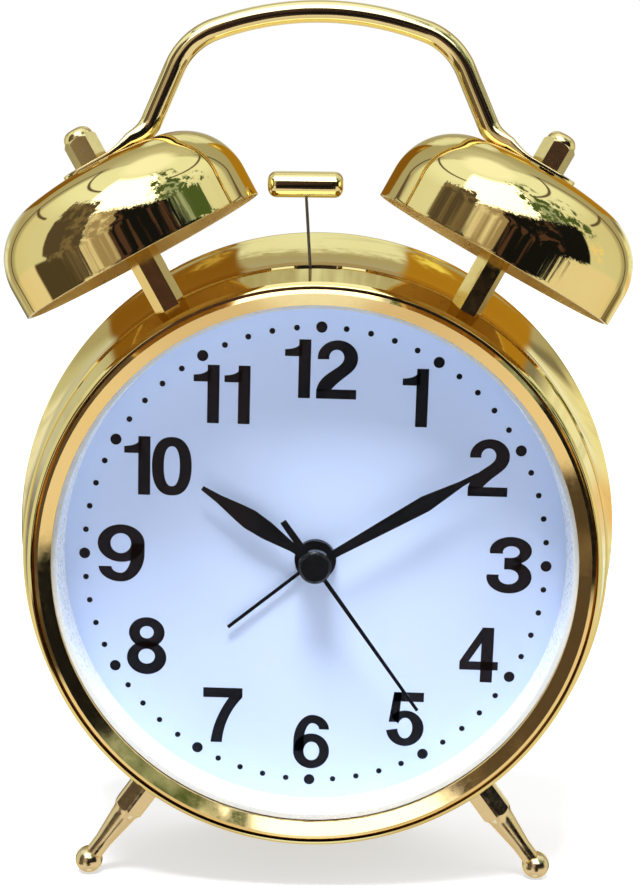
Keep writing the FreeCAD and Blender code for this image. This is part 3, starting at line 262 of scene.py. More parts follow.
dialPrint = {
    "lift": 0.02,  # in front of the dial's face
    "turn": 1.0,  # the print sits a little clockwise of the case
    "digitHeight": 10.7,
    "reach": {1: 36.4, 2: 37.2, 3: 36.9, 4: 36.7, 5: 36.0, 6: 36.4,
              7: 36.2, 8: 37.0, 9: 37.2, 10: 34.7, 11: 35.8, 12: 36.2},
    "pairGap": {10: 0.3, 11: 0.9, 12: 1.1},
    "grow": {3: 1.03, 7: 1.03, 8: 1.06, 9: 1.04, 10: 1.04},
    "growOthers": 1.02,
    "nudge": {1: (-0.42, -0.15), 3: (0.15, 0), 4: (0.3, 0.54), 5: (0.35, 0), 6: (0.25, 0.1),
              7: (0.9, -0.05), 8: (0, 0.56), 9: (0.12, 0.18), 10: (-0.12, -0.2), 11: (-0.44, 0),
              12: (0.1, 0)},
    "dotReach": 44.0,
    "hourDot": 1.05,
    "minuteDot": 0.55,
    "dotSpokes": 24,
    "steps": 28,
}


def ellipseArc(centre, radii, start, end, steps):
    # points of an ellipse from one angle to another, in degrees
    angle = np.radians(np.linspace(start, end, steps))
    return np.stack([centre[0] + radii[0] * np.cos(angle), centre[1] + radii[1] * np.sin(angle)], 1)


def bezierRun(points, steps):
    # the cubic of four points: sum of each point times its Bernstein weight
    t = np.linspace(0, 1, steps)[:, None]
    a, b, c, d = (np.array(p, float) for p in points)
    return (1 - t) ** 3 * a + 3 * (1 - t) ** 2 * t * b + 3 * (1 - t) * t ** 2 * c + t ** 3 * d


def straight(start, end, steps):
    t = np.linspace(0, 1, steps)[:, None]
    return (1 - t) * np.array(start, float) + t * np.array(end, float)


def bar(left, right, low, high):
    return np.array([[left, low], [right, low]], float), np.array([[left, high], [right, high]], float)


def digitStrokes(digit, n):
    # each stroke is a pair of edges with equal numbers of points; the ink lies between them
    high = dialPrint["digitHeight"]
    if digit == 0:
        turn = np.radians(np.linspace(0, 360, 2 * n))
        rounded = np.stack([np.sign(np.cos(turn)) * np.abs(np.cos(turn)) ** 0.85,
                            np.sign(np.sin(turn)) * np.abs(np.sin(turn)) ** 0.85], 1)
        return 7.2, [(np.array([3.6, high / 2]) + rounded * [3.6, high / 2],
                      np.array([3.6, high / 2]) + rounded * [1.45, 3.65])]
    if digit == 1:
        return 4.75, [bar(2.55, 4.75, 0, high),
                      (straight((0, 7.6), (3.2, 7.6), n),
                       bezierRun(((0, 8.85), (1.6, 8.9), (2.8, 9.3), (3.2, high)), n))]
    if digit == 2:
        outer = np.concatenate([ellipseArc((3.82, 7.5), (3.68, 3.2), 186, 0, n),
                                bezierRun(((7.5, 7.5), (7.5, 4.9), (5.2, 4.6), (2.75, 1.7)), n)])
        inner = np.concatenate([ellipseArc((3.6, 7.55), (1.36, 1.42), 194, 0, n),
                                bezierRun(((4.96, 7.55), (4.96, 5.4), (0.2, 4.9), (0.0, 1.2)), n)])
        return 7.5, [(outer, inner), bar(0, 7.35, 0, 1.75)]
    if digit == 3:
        upper = (ellipseArc((4.3, 8.05), (3.9, 2.65), 192, -64, n),
                 ellipseArc((4.4, 7.85), (1.55, 1.1), 198, -90, n))
        lower = (ellipseArc((4.2, 3.1), (4.2, 3.1), 64, -188, n),
                 ellipseArc((4.1, 3.15), (1.85, 1.4), 90, -196, n))
        return 8.4, [upper, lower, bar(3.2, 6.4, 4.55, 6.75)]
    if digit == 4:
        return 7.3, [bar(4.0, 6.3, 0, high), bar(0, 7.3, 2.4, 4.05),
                     (straight((0, 4.05), (4.15, high), 2), straight((1.75, 4.05), (4.15, 7.85), 2))]
    if digit == 5:
        bowl = (ellipseArc((3.6, 3.55), (3.6, 3.55), 140, -173, n),
                ellipseArc((3.6, 3.6), (1.42, 2.05), 156, -176, n))
        return 7.2, [bowl, bar(1.3, 7.0, 8.85, high),
                     (straight((1.3, high), (0.45, 4.75), 2), straight((2.8, high), (2.35, 4.75), 2))]
    if digit in (6, 9):
        ring = (ellipseArc((3.45, 3.5), (3.45, 3.5), 0, 360, 2 * n),
                ellipseArc((3.5, 3.5), (1.5, 1.85), 0, 360, 2 * n))
        outer = np.concatenate([ellipseArc((3.5, 7.85), (3.25, 2.85), 0, 90, n),
                                ellipseArc((3.5, 5.35), (3.5, 5.35), 90, 180, n),
                                straight((0, 5.35), (0, 3.5), 2)])
        inner = np.concatenate([ellipseArc((3.5, 7.85), (1.35, 1.2), 0, 90, n),
                                ellipseArc((3.5, 5.6), (1.5, 3.45), 90, 180, n),
                                straight((2.0, 5.6), (2.0, 3.5), 2)])
        if digit == 6:
            return 6.95, [ring, (outer, inner)]
        wide = 1.25
        flip = [(np.array([6.95, high]) - a) * [wide, 1] for a in (*ring, outer, inner)]
        return 6.95 * wide, [(flip[0], flip[1]), (flip[2], flip[3])]
    if digit == 7:
        return 7.4, [bar(0, 7.4, 8.8, high),
                     (bezierRun(((7.4, 8.9), (5.0, 6.2), (3.9, 3.3), (3.65, 0)), n),
                      bezierRun(((4.9, 8.9), (3.2, 6.5), (1.8, 3.3), (1.5, 0)), n))]
    upper = (ellipseArc((3.6, 7.85), (3.25, 2.85), 0, 360, 2 * n),
             ellipseArc((3.6, 7.9), (1.25, 1.15), 0, 360, 2 * n))
    lower = (ellipseArc((3.6, 3.15), (3.6, 3.15), 0, 360, 2 * n),
             ellipseArc((3.6, 3.4), (1.5, 1.4), 0, 360, 2 * n))
    return 7.2, [upper, lower]


def ribbonMesh(pairs):
    # a strip of quads between each pair of edges
    points, faces, base = [], [], 0
    for first, second in pairs:
        count = len(first)
        points.append(np.concatenate([first, second]))
        k = np.arange(count - 1) + base
        faces.append(np.stack([k, k + 1, k + 1 + count, k + count], 1))
        base += 2 * count
    return np.concatenate(points), np.concatenate(faces)


def faceTheFront(points, faces):
    # turns every face so that its normal points to the front of the clock
    corners = points[faces]
    normal = np.cross(corners[:, 1] - corners[:, 0], corners[:, 2] - corners[:, 0])
    flip = normal[:, 1] > 0
    faces = faces.copy()
    faces[flip] = faces[flip][:, ::-1]
    return faces


def onDial(flatPoints):
    # print coordinates (across, up) to the row frame, turned with the dial
    turn = math.radians(-dialPrint["turn"])
    x = flatPoints[:, 0] * math.cos(turn) - flatPoints[:, 1] * math.sin(turn)
    z = flatPoints[:, 0] * math.sin(turn) + flatPoints[:, 1] * math.cos(turn)
    y = np.full(len(x), dialDepth - dialPrint["lift"])
    return np.stack([x, y, z + dialHeight], 1) * mm


def addObject(name, data):
    thing = bpy.data.objects.new(name, data)
    bpy.context.scene.collection.objects.link(thing)
    return thing


def settle(name, mesh, body):
    # a finished mesh goes on the body that carries it
    piece = addObject(name, mesh)
    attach(piece, body)
    return piece


def printPiece(name, flatPoints, faces):
    # flat ink just in front of the dial's face
    points = onDial(flatPoints)
    mesh = bpy.data.meshes.new(name)
    mesh.from_pydata(points.tolist(), [], faceTheFront(points, faces).tolist())
    mesh.update()
    mesh.polygons.foreach_set("use_smooth", [False] * len(mesh.polygons))
    mesh.materials.append(printedInk())
    settle(name, mesh, "clock")


def makeNumerals():
    # every hour's strokes, laid out from the left and grown about the number's own middle
    pairs = []
    for hour, reach in dialPrint["reach"].items():
        gap = dialPrint["pairGap"].get(hour, 0)
        shapes = [digitStrokes(int(c), dialPrint["steps"]) for c in str(hour)]
        width = sum(s[0] for s in shapes) + gap * (len(shapes) - 1)
        half = np.array([width / 2, dialPrint["digitHeight"] / 2])
        angle = math.radians(30 * hour)
        corner = np.array([reach * math.sin(angle), reach * math.cos(angle)]) - half
        centre = corner + half
        grow = dialPrint["grow"].get(hour, dialPrint["growOthers"])
        moved = centre + dialPrint["nudge"].get(hour, (0, 0))
        for advance, strokes in shapes:
            pairs += [[moved + (edge + corner - centre) * grow for edge in stroke] for stroke in strokes]
            corner = corner + [advance + gap, 0]
    printPiece("dialNumerals", *ribbonMesh(pairs))


def makeDots():
    # each dot is a fan: a centre and a rim of equal angles
    spokes = dialPrint["dotSpokes"]
    minute = np.arange(60)
    size = np.where(minute % 5 == 0, dialPrint["hourDot"], dialPrint["minuteDot"])
    angle = np.radians(6 * minute)
    middle = dialPrint["dotReach"] * np.stack([np.sin(angle), np.cos(angle)], 1)
    rim = np.radians(np.arange(spokes) * 360 / spokes)
    ring = np.stack([np.cos(rim), np.sin(rim)], 1)
    edge = middle[:, None] + size[:, None, None] * ring[None]
    flatPoints = np.concatenate([middle[:, None], edge], 1).reshape(-1, 2)
    k = np.arange(spokes)
    fan = np.stack([np.zeros(spokes, int), 1 + k, 1 + (k + 1) % spokes], 1)
    faces = (fan[None] + (spokes + 1) * minute[:, None, None]).reshape(-1, 3)
    printPiece("dialDots", flatPoints, faces)


def aroundRing(spokes):
    return np.linspace(0, 2 * np.pi, spokes, endpoint=False)


def gridFaces(rows, spokes, loop=False):
    # quads between neighbouring rings of points; a loop's last ring meets its first
    i, j = np.meshgrid(np.arange(rows if loop else rows - 1), np.arange(spokes), indexing="ij")
    here, over = i * spokes, (i + 1) % rows * spokes
    after = (j + 1) % spokes
    return np.stack([here + j, here + after, over + after, over + j], 2).reshape(-1, 4)


def latheGrid(profile, spokes, loop=False):
    # every (radius, height) of the profile goes round the upright axis
    radius, height = np.array(profile, float).T
    angle = aroundRing(spokes)
    points = np.stack([radius[:, None] * np.cos(angle), radius[:, None] * np.sin(angle),
                       np.repeat(height[:, None], spokes, 1)], 2).reshape(-1, 3)
    return points, gridFaces(len(radius), spokes, loop)


def towardsFront(points):
    # stands the upright axis along the hands' axis: height becomes depth, about the dial's middle
    x, y, z = points.T
    return np.stack([x, z + dialDepth, y + dialHeight], 1)


def onSlant(points, lean, drop=0.0):
    # leans the upright axis sideways by an angle, clockwise from the front, about the dial's middle
    turn = math.radians(lean)
    x, y, z = points.T
    return np.stack([x * math.cos(turn) + z * math.sin(turn), y + dialDepth + backSet,
                     z * math.cos(turn) - x * math.sin(turn) + dialHeight - drop], 1)


def arcRun(centre, radius, start, end, steps):
    # (radius, height) points of an arc; angles in degrees, measured from the outward direction
    angle = np.radians(np.linspace(start, end, steps))
    return [(centre[0] + radius * math.cos(a), centre[1] + radius * math.sin(a)) for a in angle]


def alongLine(line):
    # unit vectors along a run of points
    step = np.gradient(line, axis=0)
    return step / np.linalg.norm(step, axis=1)[:, None]


def keepCreases(mesh, crease):
    # smooth all over, but for edges whose faces meet at more than this angle
    mesh.polygons.foreach_set("use_smooth", [True] * len(mesh.polygons))
    mesh.set_sharp_from_angle(angle=math.radians(crease))


def shellPiece(name, points, faces, materials, body, replaced, crease=28, inside=None):
    # points in mm; doubles at the poles merge and all faces turn outwards
    mesh = bpy.data.meshes.new(name)
    mesh.from_pydata((points * mm).tolist(), [], faces.tolist())
    for finish in materials:
        mesh.materials.append(finish)
    if inside is not None:
        mesh.polygons.foreach_set("material_index", inside.astype(int).tolist())
    shell = bmesh.new()
    shell.from_mesh(mesh)
    bmesh.ops.remove_doubles(shell, verts=shell.verts, dist=1e-6)
    bmesh.ops.recalc_face_normals(shell, faces=shell.faces)
    shell.to_mesh(mesh)
    shell.free()
    keepCreases(mesh, crease)
    piece = settle(name, mesh, body)
    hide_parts(replaced)
    return piece


lensGlass = {
    "radius": 50.2,
    "front": -10.7,  # from the dial's face
    "rear": -9.25,  # just clear of the inner ring, so that no two faces share a place
    "edge": 0.3,
    "guard": 0.1,  # an extra ring this far from a corner keeps the flat faces flat
    "spokes": 192,
}


def makeLens():
    # a flat disc with a bevelled front edge
    r, front, rear, e, guard, spokes = lensGlass.values()
    profile = [(0, front), (r * 0.5, front), (r - e - guard, front), (r - e, front), (r, front + e),
               (r, rear), (r - guard, rear), (r * 0.5, rear), (0, rear)]
    points, faces = latheGrid(profile, spokes)
    glass = shellPiece("lensGlass", towardsFront(points), faces, [finishes["clear_lens"]], "clock",
                       "lens")
    glass.visible_shadow = False  # the lamps reach the dial
    glass.visible_diffuse = False


bells = {
    "rim": 66.15,
    "crown": 84.1,
    "radius": 23.8,
    "wall": 0.8,
    "flat": 6.4,
    "dome": 74.5,
    "shoulder": 11.5,
    "lip": 0.12,  # the rolled corner at the rim
    "lean": 28.8,
    "drop": 1.5,
    "hole": 1.65,
    "spokes": 224,
}


def bellOutline(inset):
    # from the hole to the rim: flat crown, shallow dome, tight shoulder, straight wall
    b = bells
    start = math.asin(b["flat"] / b["dome"])
    domeCentre = b["crown"] - b["dome"] * math.cos(start)
    shoulderX = b["radius"] - b["shoulder"]
    shoulderZ = domeCentre + math.sqrt((b["dome"] - b["shoulder"]) ** 2 - shoulderX ** 2)
    lean = math.atan2(shoulderX, shoulderZ - domeCentre)
    dome = arcRun((0, domeCentre), b["dome"] - inset, 90 - math.degrees(start), 90 - math.degrees(lean), 20)
    shoulder = arcRun((shoulderX, shoulderZ), b["shoulder"] - inset, 90 - math.degrees(lean), 0, 40)
    crown = [(b["hole"], dome[0][1]), (b["hole"] + 0.1, dome[0][1])]
    wall = [(b["radius"] - inset, h) for h in np.linspace(shoulderZ, b["rim"] + b["lip"], 12)[1:]]
    return crown + dome + shoulder[1:] + wall


def makeBells():
    # the outline goes over the bell, round its rim and back along the inside
    b = bells
    outer, inner = bellOutline(0), bellOutline(b["wall"])
    r, back, h, e = b["radius"], b["radius"] - b["wall"], b["rim"], b["lip"]
    edge = arcRun((r - e, h + e), e, -15, -75, 4) + [(r - e, h)]
    turned = [(back + e, h)] + arcRun((back + e, h + e), e, -105, -165, 4)
    profile = outer + edge + turned + inner[::-1]
    points, faces = latheGrid(profile, b["spokes"], True)
    inside = np.repeat(np.arange(len(profile)) >= len(outer) + len(edge), b["spokes"])
    for side, word in ((-1, "left"), (1, "right")):
        shellPiece("bell" + word.title(), onSlant(points, side * b["lean"], b["drop"]), faces,
                   [finishes["gold_bells"], bellInside], "clock", "bell_" + word,
                   inside=inside)


case = {
    "lipBore": 51.75,
    "lipRadius": 52.65,
    "lipFront": -13.25,
    "lipSide": -12.6,
    "lipCorner": 0.12,
    "stepRadius": 54.95,
    "stepDepth": -3.4,
    "stepRise": 0.35,
    "stepLength": 0.3,
    "rearRadius": 61.28,
    "hollow": 1.5,  # how far the rear flare bows inwards between its ends
    "roll": 2.4,
    "rollStart": -21,
    "rear": 29.0,
    "opening": 58.2,
    "wall": 0.8,
    "slotLength": 8.8,  # the opening for the hammer's wire
    "slotWidth": 2.2,
    "slotCut": (50, 60),  # how high above the dial's middle it is cut
    "spokes": 288,
    "crease": 28,
}


def makeCase():
    # lip sloping outwards, front cone, pressed step, a rear flare that is a parabola between its ends,
    # a rolled back edge, and the inner wall
    c = case
    w, rollBack, rollRim = c["wall"], c["rear"] - c["roll"], c["rearRadius"] - c["roll"]
    bore, front, e = c["lipBore"], c["lipFront"], c["lipCorner"]
    lip = [(bore, c["lipSide"]), (bore, front + e), (bore + e / 3, front + e / 4), (bore + e, front)]
    lip += [(bore + e + t * (c["lipRadius"] - bore - e),
             front + (c["lipSide"] - front) * (0.7 * t + 0.3 * t * t)) for t in np.linspace(0, 1, 7)[1:]]
    cone = [(c["lipRadius"] + t * (c["stepRadius"] - c["lipRadius"]),
             c["lipSide"] + t * (c["stepDepth"] - c["lipSide"])) for t in np.linspace(0, 1, 9)[1:]]
    stepTop = (c["stepRadius"] + c["stepRise"], c["stepDepth"] + c["stepLength"])
    roll = arcRun((rollRim, rollBack), c["roll"], c["rollStart"], 90, 16)
    flare = [(stepTop[0] + t * (roll[0][0] - stepTop[0]) - 4 * c["hollow"] * t * (1 - t),
              stepTop[1] + t * (roll[0][1] - stepTop[1])) for t in np.linspace(0, 1, 25)[:-1]]
    back = [(c["opening"], c["rear"]), (c["opening"], c["rear"] - w), (rollRim, c["rear"] - w)]
    inner = [(r - w, h) for r, h in flare[::-4]]
    inner += [(stepTop[0] - w, stepTop[1]), (c["stepRadius"] - w, c["stepDepth"]),
              (c["lipRadius"] - w - 0.1, c["lipSide"] + 0.2)]
    points, faces = latheGrid(lip + cone + flare + roll + back + inner, c["spokes"], True)
    cutSlot(shellPiece("caseShell", towardsFront(points), faces, [finishes["gold_case"]], "clock",
                       "case_shell", c["crease"]))


def cutSlot(piece):
    # the slot for the hammer's wire, cut as an upright prism with round ends
    half, r = (case["slotLength"] - case["slotWidth"]) / 2, case["slotWidth"] / 2
    bend = np.radians(np.linspace(-90, 90, 17))
    right = np.stack([half + r * np.cos(bend), r * np.sin(bend)], 1)
    rim = np.concatenate([right, -right]) + [0, dialDepth + backSet]
    n = len(rim)
    corners = np.concatenate([np.column_stack([rim, np.full(n, dialHeight + end)])
                              for end in case["slotCut"]])
    k = np.arange(n)
    sides = np.stack([k, (k + 1) % n, (k + 1) % n + n, k + n], 1).tolist()
    prism = bpy.data.meshes.new("slotPrism")
    prism.from_pydata((corners * mm).tolist(), [], sides + [k[::-1].tolist(), (k + n).tolist()])
    cutter = addObject("slotPrism", prism)
    cut = piece.modifiers.new("slot", "BOOLEAN")
    cut.operation, cut.solver, cut.object = "DIFFERENCE", "EXACT", cutter
    held = bpy.context.evaluated_depsgraph_get()
    opened = bpy.data.meshes.new_from_object(piece.evaluated_get(held))
    piece.modifiers.clear()
    bpy.data.objects.remove(cutter)
    piece.data = opened
    keepCreases(opened, case["crease"])


feet = {
    "root": 51.0,
    "hexEnd": 61.2,
    "chamfer": 0.75,  # its length along the foot
    "shoulder": 0.8,
    "taperEnd": 69.4,
    "ball": 74.3,
    "ballRadius": 2.65,
    "neck": 1.7,
    "flats": 5.8,
    "corner": 0.18,
    "cornerFrom": 0.42,  # the corner softens from this angle off the flat's middle, in radians
    "cornerOver": 0.104,
    "shares": (1.155, 0.98, 0.86),  # of half the flats: chamfer's start and end, taper's start
    "lean": 143.85,
    "spokes": 120,
}


def makeFeet():
    # radius by angle and height: a six-sided root with softened corners, chamfered at its end, then
    # a shoulder, a straight taper, a neck and a ball
    f = feet
    half = f["flats"] / 2
    corner, chamferEnd, taperStart = (half * share for share in f["shares"])
    angle = aroundRing(f["spokes"])
    nearest = (angle + np.pi / 6) % (np.pi / 3) - np.pi / 6
    softened = np.maximum(0, np.abs(nearest) - f["cornerFrom"]) / f["cornerOver"]
    hexed = half / np.cos(nearest) - f["corner"] * softened
    chamferFrom, taperFrom = f["hexEnd"] - f["chamfer"], f["hexEnd"] + f["shoulder"]
    meet = math.asin(f["neck"] / f["ballRadius"])
    ballFrom = f["ball"] - f["ballRadius"] * math.cos(meet)
    bow = np.linspace(meet, np.pi, 30)[1:]
    sphere = np.stack([f["ballRadius"] * np.sin(bow), f["ball"] - f["ballRadius"] * np.cos(bow),
                       0 * bow], 1)
    free = 99.0  # leaves the hexagon as it is
    rows = [[(0, f["root"], 0)], straight((free, f["root"], 1), (free, chamferFrom, 1), 8),
            straight((corner, chamferFrom, 1), (chamferEnd, f["hexEnd"], 1), 6),
            straight((chamferEnd, f["hexEnd"], 0), (taperStart, taperFrom, 0), 5)[1:],
            straight((taperStart, taperFrom, 0), (f["neck"], f["taperEnd"], 0), 10)[1:],
            straight((f["neck"], f["taperEnd"], 0), (f["neck"], ballFrom, 0), 4)[1:], sphere]
    limit, height, six = np.concatenate(rows).T[:, :, None]
    radius = np.where(six > 0, np.minimum(hexed, limit), limit)
    points = np.stack([radius * np.cos(angle), radius * np.sin(angle),
                       np.broadcast_to(height, radius.shape)], 2).reshape(-1, 3)
    faces = gridFaces(len(height), f["spokes"])
    for side, word in ((-1, "left"), (1, "right")):
        shellPiece("foot" + word.title(), onSlant(points, side * f["lean"]), faces,
                   [finishes["gold_feet"]], "clock", "foot_" + word, 22)


handle = {
    "rod": 1.9,
    "apex": 99.45,
    "topRadius": 56.0,
    "cornerRadius": 12.5,
    "legLean": 24.4,
    "legAcross": 28.55,
    "legHeight": 83.8,
    "footRadius": 8.0,
    "tabHalf": 0.5,
    "tabWide": 3.3,
    "tabEnd": 5.8,
    "tabFlat": -3.4,  # from here on the tab is flat, along it from the bell's axis
    "bendSteps": 24,
    "spokes": 40,
}


def handleRun():
    # one side's centre line in the handle's plane, with half thickness, half width and squareness
    h, b = handle, bells
    lean, tilt = math.radians(h["legLean"]), math.radians(b["lean"])
    down = np.array([math.sin(lean), -math.cos(lean)])
    inward = np.array([-math.cos(lean), -math.sin(lean)])
    leg = np.array([h["legAcross"], h["legHeight"]])
    top = np.array([0, h["apex"] - h["topRadius"]])
    reach = leg + inward * h["cornerRadius"] - top
    slide = down @ reach
    gap = h["topRadius"] - h["cornerRadius"]
    corner = top + reach + down * (-slide - math.sqrt(slide ** 2 - reach @ reach + gap ** 2))
    outward = (corner - top) / np.linalg.norm(corner - top)
    topTurn = math.atan2(outward[0], outward[1])
    cornerEnd = math.atan2(-inward[0], -inward[1])
    a = np.linspace(0, topTurn, 40)
    run = [top + h["topRadius"] * np.stack([np.sin(a), np.cos(a)], 1)]
    a = np.linspace(topTurn, cornerEnd, 28)[1:]
    run.append(corner + h["cornerRadius"] * np.stack([np.sin(a), np.cos(a)], 1))
    axis = np.array([math.sin(tilt), math.cos(tilt)])
    along = np.array([math.cos(tilt), -math.sin(tilt)])
    bellOrigin = np.array([0, -b["drop"]])
    seat = b["crown"] + h["tabHalf"]
    knee = leg + down * ((seat - axis @ (leg - bellOrigin)) / (axis @ down))
    turn = math.pi / 2 - lean - tilt
    legEnd = knee - down * h["footRadius"] * math.tan(turn / 2)
    footCentre = legEnd - inward * h["footRadius"]
    start = corner - inward * h["cornerRadius"]
    t = np.linspace(0, 1, 12)[1:, None]
    run.append(start + t * (legEnd - start))
    plain = sum(len(r) for r in run)
    n = h["bendSteps"]
    t = np.linspace(0, 1, n + 1)[1:]
    swing = (turn * t)[:, None]
    bend = footCentre + h["footRadius"] * (inward * np.cos(swing) + down * np.sin(swing))
    tabStart = along @ (bend[-1] - bellOrigin)
    u = np.concatenate([np.linspace(tabStart, h["tabEnd"] - h["tabWide"], 22)[1:],
                        h["tabEnd"] - h["tabWide"] * (1 - np.sin(np.linspace(0, np.pi / 2, 14)[1:]))])
    bendLength = h["footRadius"] * turn
    travel = np.concatenate([bendLength * t, bendLength + u - tabStart])
    share = np.clip(travel / (bendLength + h["tabFlat"] - tabStart), 0, 1)
    share = share * share * (3 - 2 * share)
    thick = h["rod"] + share * (h["tabHalf"] - h["rod"])
    wide = h["rod"] + share * (h["tabWide"] - h["rod"])
    lift = (thick[:n] - h["tabHalf"]) * t ** 2
    bend = bend + lift[:, None] * axis
    tab = bellOrigin + np.outer(u, along) + np.outer(b["crown"] + thick[n:], axis)
    over = np.clip((u - h["tabEnd"] + h["tabWide"]) / h["tabWide"], 0, 1)
    wide[n:] *= np.sqrt(np.maximum(0, 1 - over ** 2))
    centres = np.concatenate(run + [bend, tab])
    thick = np.concatenate([np.full(plain, h["rod"]), thick])
    wide = np.concatenate([np.full(plain, h["rod"]), wide])
    square = np.concatenate([np.zeros(plain), share])
    return centres, thick, wide, square


def makeHandle():
    # a section carried along the line: a circle on the rod, growing into a flat tab with soft edges.
    # The section is a superellipse, whose power rises from 2 to 6 as the rod flattens
    centres, thick, wide, square = handleRun()
    flip = np.array([-1, 1])
    centres = np.concatenate([centres[:0:-1] * flip, centres])
    thick, wide, square = (np.concatenate([v[:0:-1], v]) for v in (thick, wide, square))
    tangent = alongLine(centres)
    normal = np.stack([-tangent[:, 1], tangent[:, 0]], 1)
    angle = aroundRing(handle["spokes"])
    power = (2 / (2 + 4 * square))[:, None]
    up = np.sign(np.sin(angle)) * np.abs(np.sin(angle)) ** power * thick[:, None]
    out = np.sign(np.cos(angle)) * np.abs(np.cos(angle)) ** power * wide[:, None]
    x = centres[:, :1] + normal[:, :1] * up
    z = centres[:, 1:] + normal[:, 1:] * up
    points = np.stack([x, out + dialDepth + backSet, z + dialHeight], 2).reshape(-1, 3)
    faces = gridFaces(len(centres), handle["spokes"])
    shellPiece("handleRod", points, faces, [finishes["gold_handle"]], "clock",
               "handle", 40)


hammer = {
    "pivot": 32.7,
    "reach": 37.0,
    "rest": -3.75,
    "radius": 2.3,
    "half": 6.8,
    "flat": 4.8,  # the straight part, on either side of the middle
    "round": 1.6,
    "spokes": 96,
}


def makeHammerHead():
    # a short bar with rounded ends that lies level at rest, on the end of the leaning wire
    m = hammer
    ends = arcRun((m["radius"] - m["round"], m["half"] - m["round"]), m["round"], 90, 0, 14)
    profile = [(0, -m["half"]), (0.3, -m["half"])] + [(r, -h) for r, h in ends]
    profile += [(m["radius"], h) for h in np.linspace(-m["flat"], m["flat"], 9)]
    profile += ends[::-1] + [(0.3, m["half"]), (0, m["half"])]
    points, faces = latheGrid(profile, m["spokes"])
    x, y, z = points.T
    lean = math.radians(m["rest"])
    across, high = m["reach"] * math.sin(lean), m["pivot"] + m["reach"] * math.cos(lean)
    points = np.stack([z + across, x + dialDepth + backSet, y + high + dialHeight], 1)
    shellPiece("hammerHead", points, faces, [finishes["gold_hammer"]], "hammer",
               "hammer_head")


hammerWire = {
    "radius": 0.28,
    "spokes": 20,
    "corners": [(5.4, 1.2), (5.4, 15.9), (-3.2, 21.1), (-3.2, 36.6)],  # depth, height over the pivot
    "bend": 1.6,
}


def makeHammerWire():
    # a round section along three straight runs whose corners are cut by parabolas, leaning at rest
    w = hammerWire
    corners = np.array(w["corners"], float)
    run = [corners[:1]]
    for before, corner, after in zip(corners, corners[1:], corners[2:]):
        start = corner + w["bend"] * (before - corner) / np.linalg.norm(before - corner)
        end = corner + w["bend"] * (after - corner) / np.linalg.norm(after - corner)
        t = np.linspace(0, 1, 9)[:, None]
        run.append((1 - t) ** 2 * start + 2 * t * (1 - t) * corner + t ** 2 * end)
    line = np.concatenate(run + [corners[-1:]])
    tangent = alongLine(line)
    angle = aroundRing(w["spokes"])
    girth = np.concatenate([[0], np.full(len(line), w["radius"]), [0]])[:, None]
    line = np.concatenate([line[:1], line, line[-1:]])
    tangent = np.concatenate([tangent[:1], tangent, tangent[-1:]])
    x = girth * np.cos(angle)
    y = line[:, :1] + girth * np.sin(angle) * tangent[:, 1:]
    z = line[:, 1:] - girth * np.sin(angle) * tangent[:, :1]
    lean = math.radians(hammer["rest"])
    points = np.stack([x * math.cos(lean) + z * math.sin(lean), y + dialDepth,
                       z * math.cos(lean) - x * math.sin(lean) + hammer["pivot"] + dialHeight], 2)
    faces = gridFaces(len(line), w["spokes"])
    shellPiece("hammerWire", points.reshape(-1, 3), faces, [finishes["steel_wire"]], "hammer",
               "hammer_wire", 60)


makeBells()
makeHammerWire()
makeCase()
makeFeet()
makeHandle()
makeHammerHead()
print("metal pieces made")
makeLens()
makeNumerals()
makeDots()
print("dial printed")


studio = {
    "floorHalf": 6.0,
    "floorWhite": 0.62,
    "floorGlow": 0.58,  # what the camera adds near the clock
    "floorFar": 1.0,  # and where the lamps no longer reach
    "glowStart": 0.25,
    "glowEnd": 0.9,
    "ambientHigh": 0.52,
    "ambientLow": 0.20,
}


def reckon(tree, operation, *values):
    # one Math node; each value is a number or a socket
    step = tree.nodes.new("ShaderNodeMath")
    step.operation = operation
    for socket, value in zip(step.inputs, values):
        if isinstance(value, (int, float)):
            socket.default_value = value
        else:
            tree.links.new(value, socket)
    return step.outputs[0]


def times(tree, first, *others):
    for other in others:
        first = reckon(tree, "MULTIPLY", first, other)
    return first


def soften(tree, value, low, high):
    # 0 below low, 1 above high, eased between; falls instead where low is above high
    eased = tree.nodes.new("ShaderNodeMapRange")
    eased.interpolation_type = "SMOOTHSTEP"
    eased.inputs["From Min"].default_value = min(low, high)
    eased.inputs["From Max"].default_value = max(low, high)
    eased.inputs["To Min"].default_value = 0.0 if low < high else 1.0
    eased.inputs["To Max"].default_value = 1.0 if low < high else 0.0
    tree.links.new(value, eased.inputs["Value"])
    return eased.outputs["Result"]


def between(tree, value, low, high, soft):
    return times(tree, soften(tree, value, low - soft, low + soft),
                 soften(tree, value, high + soft, high - soft))


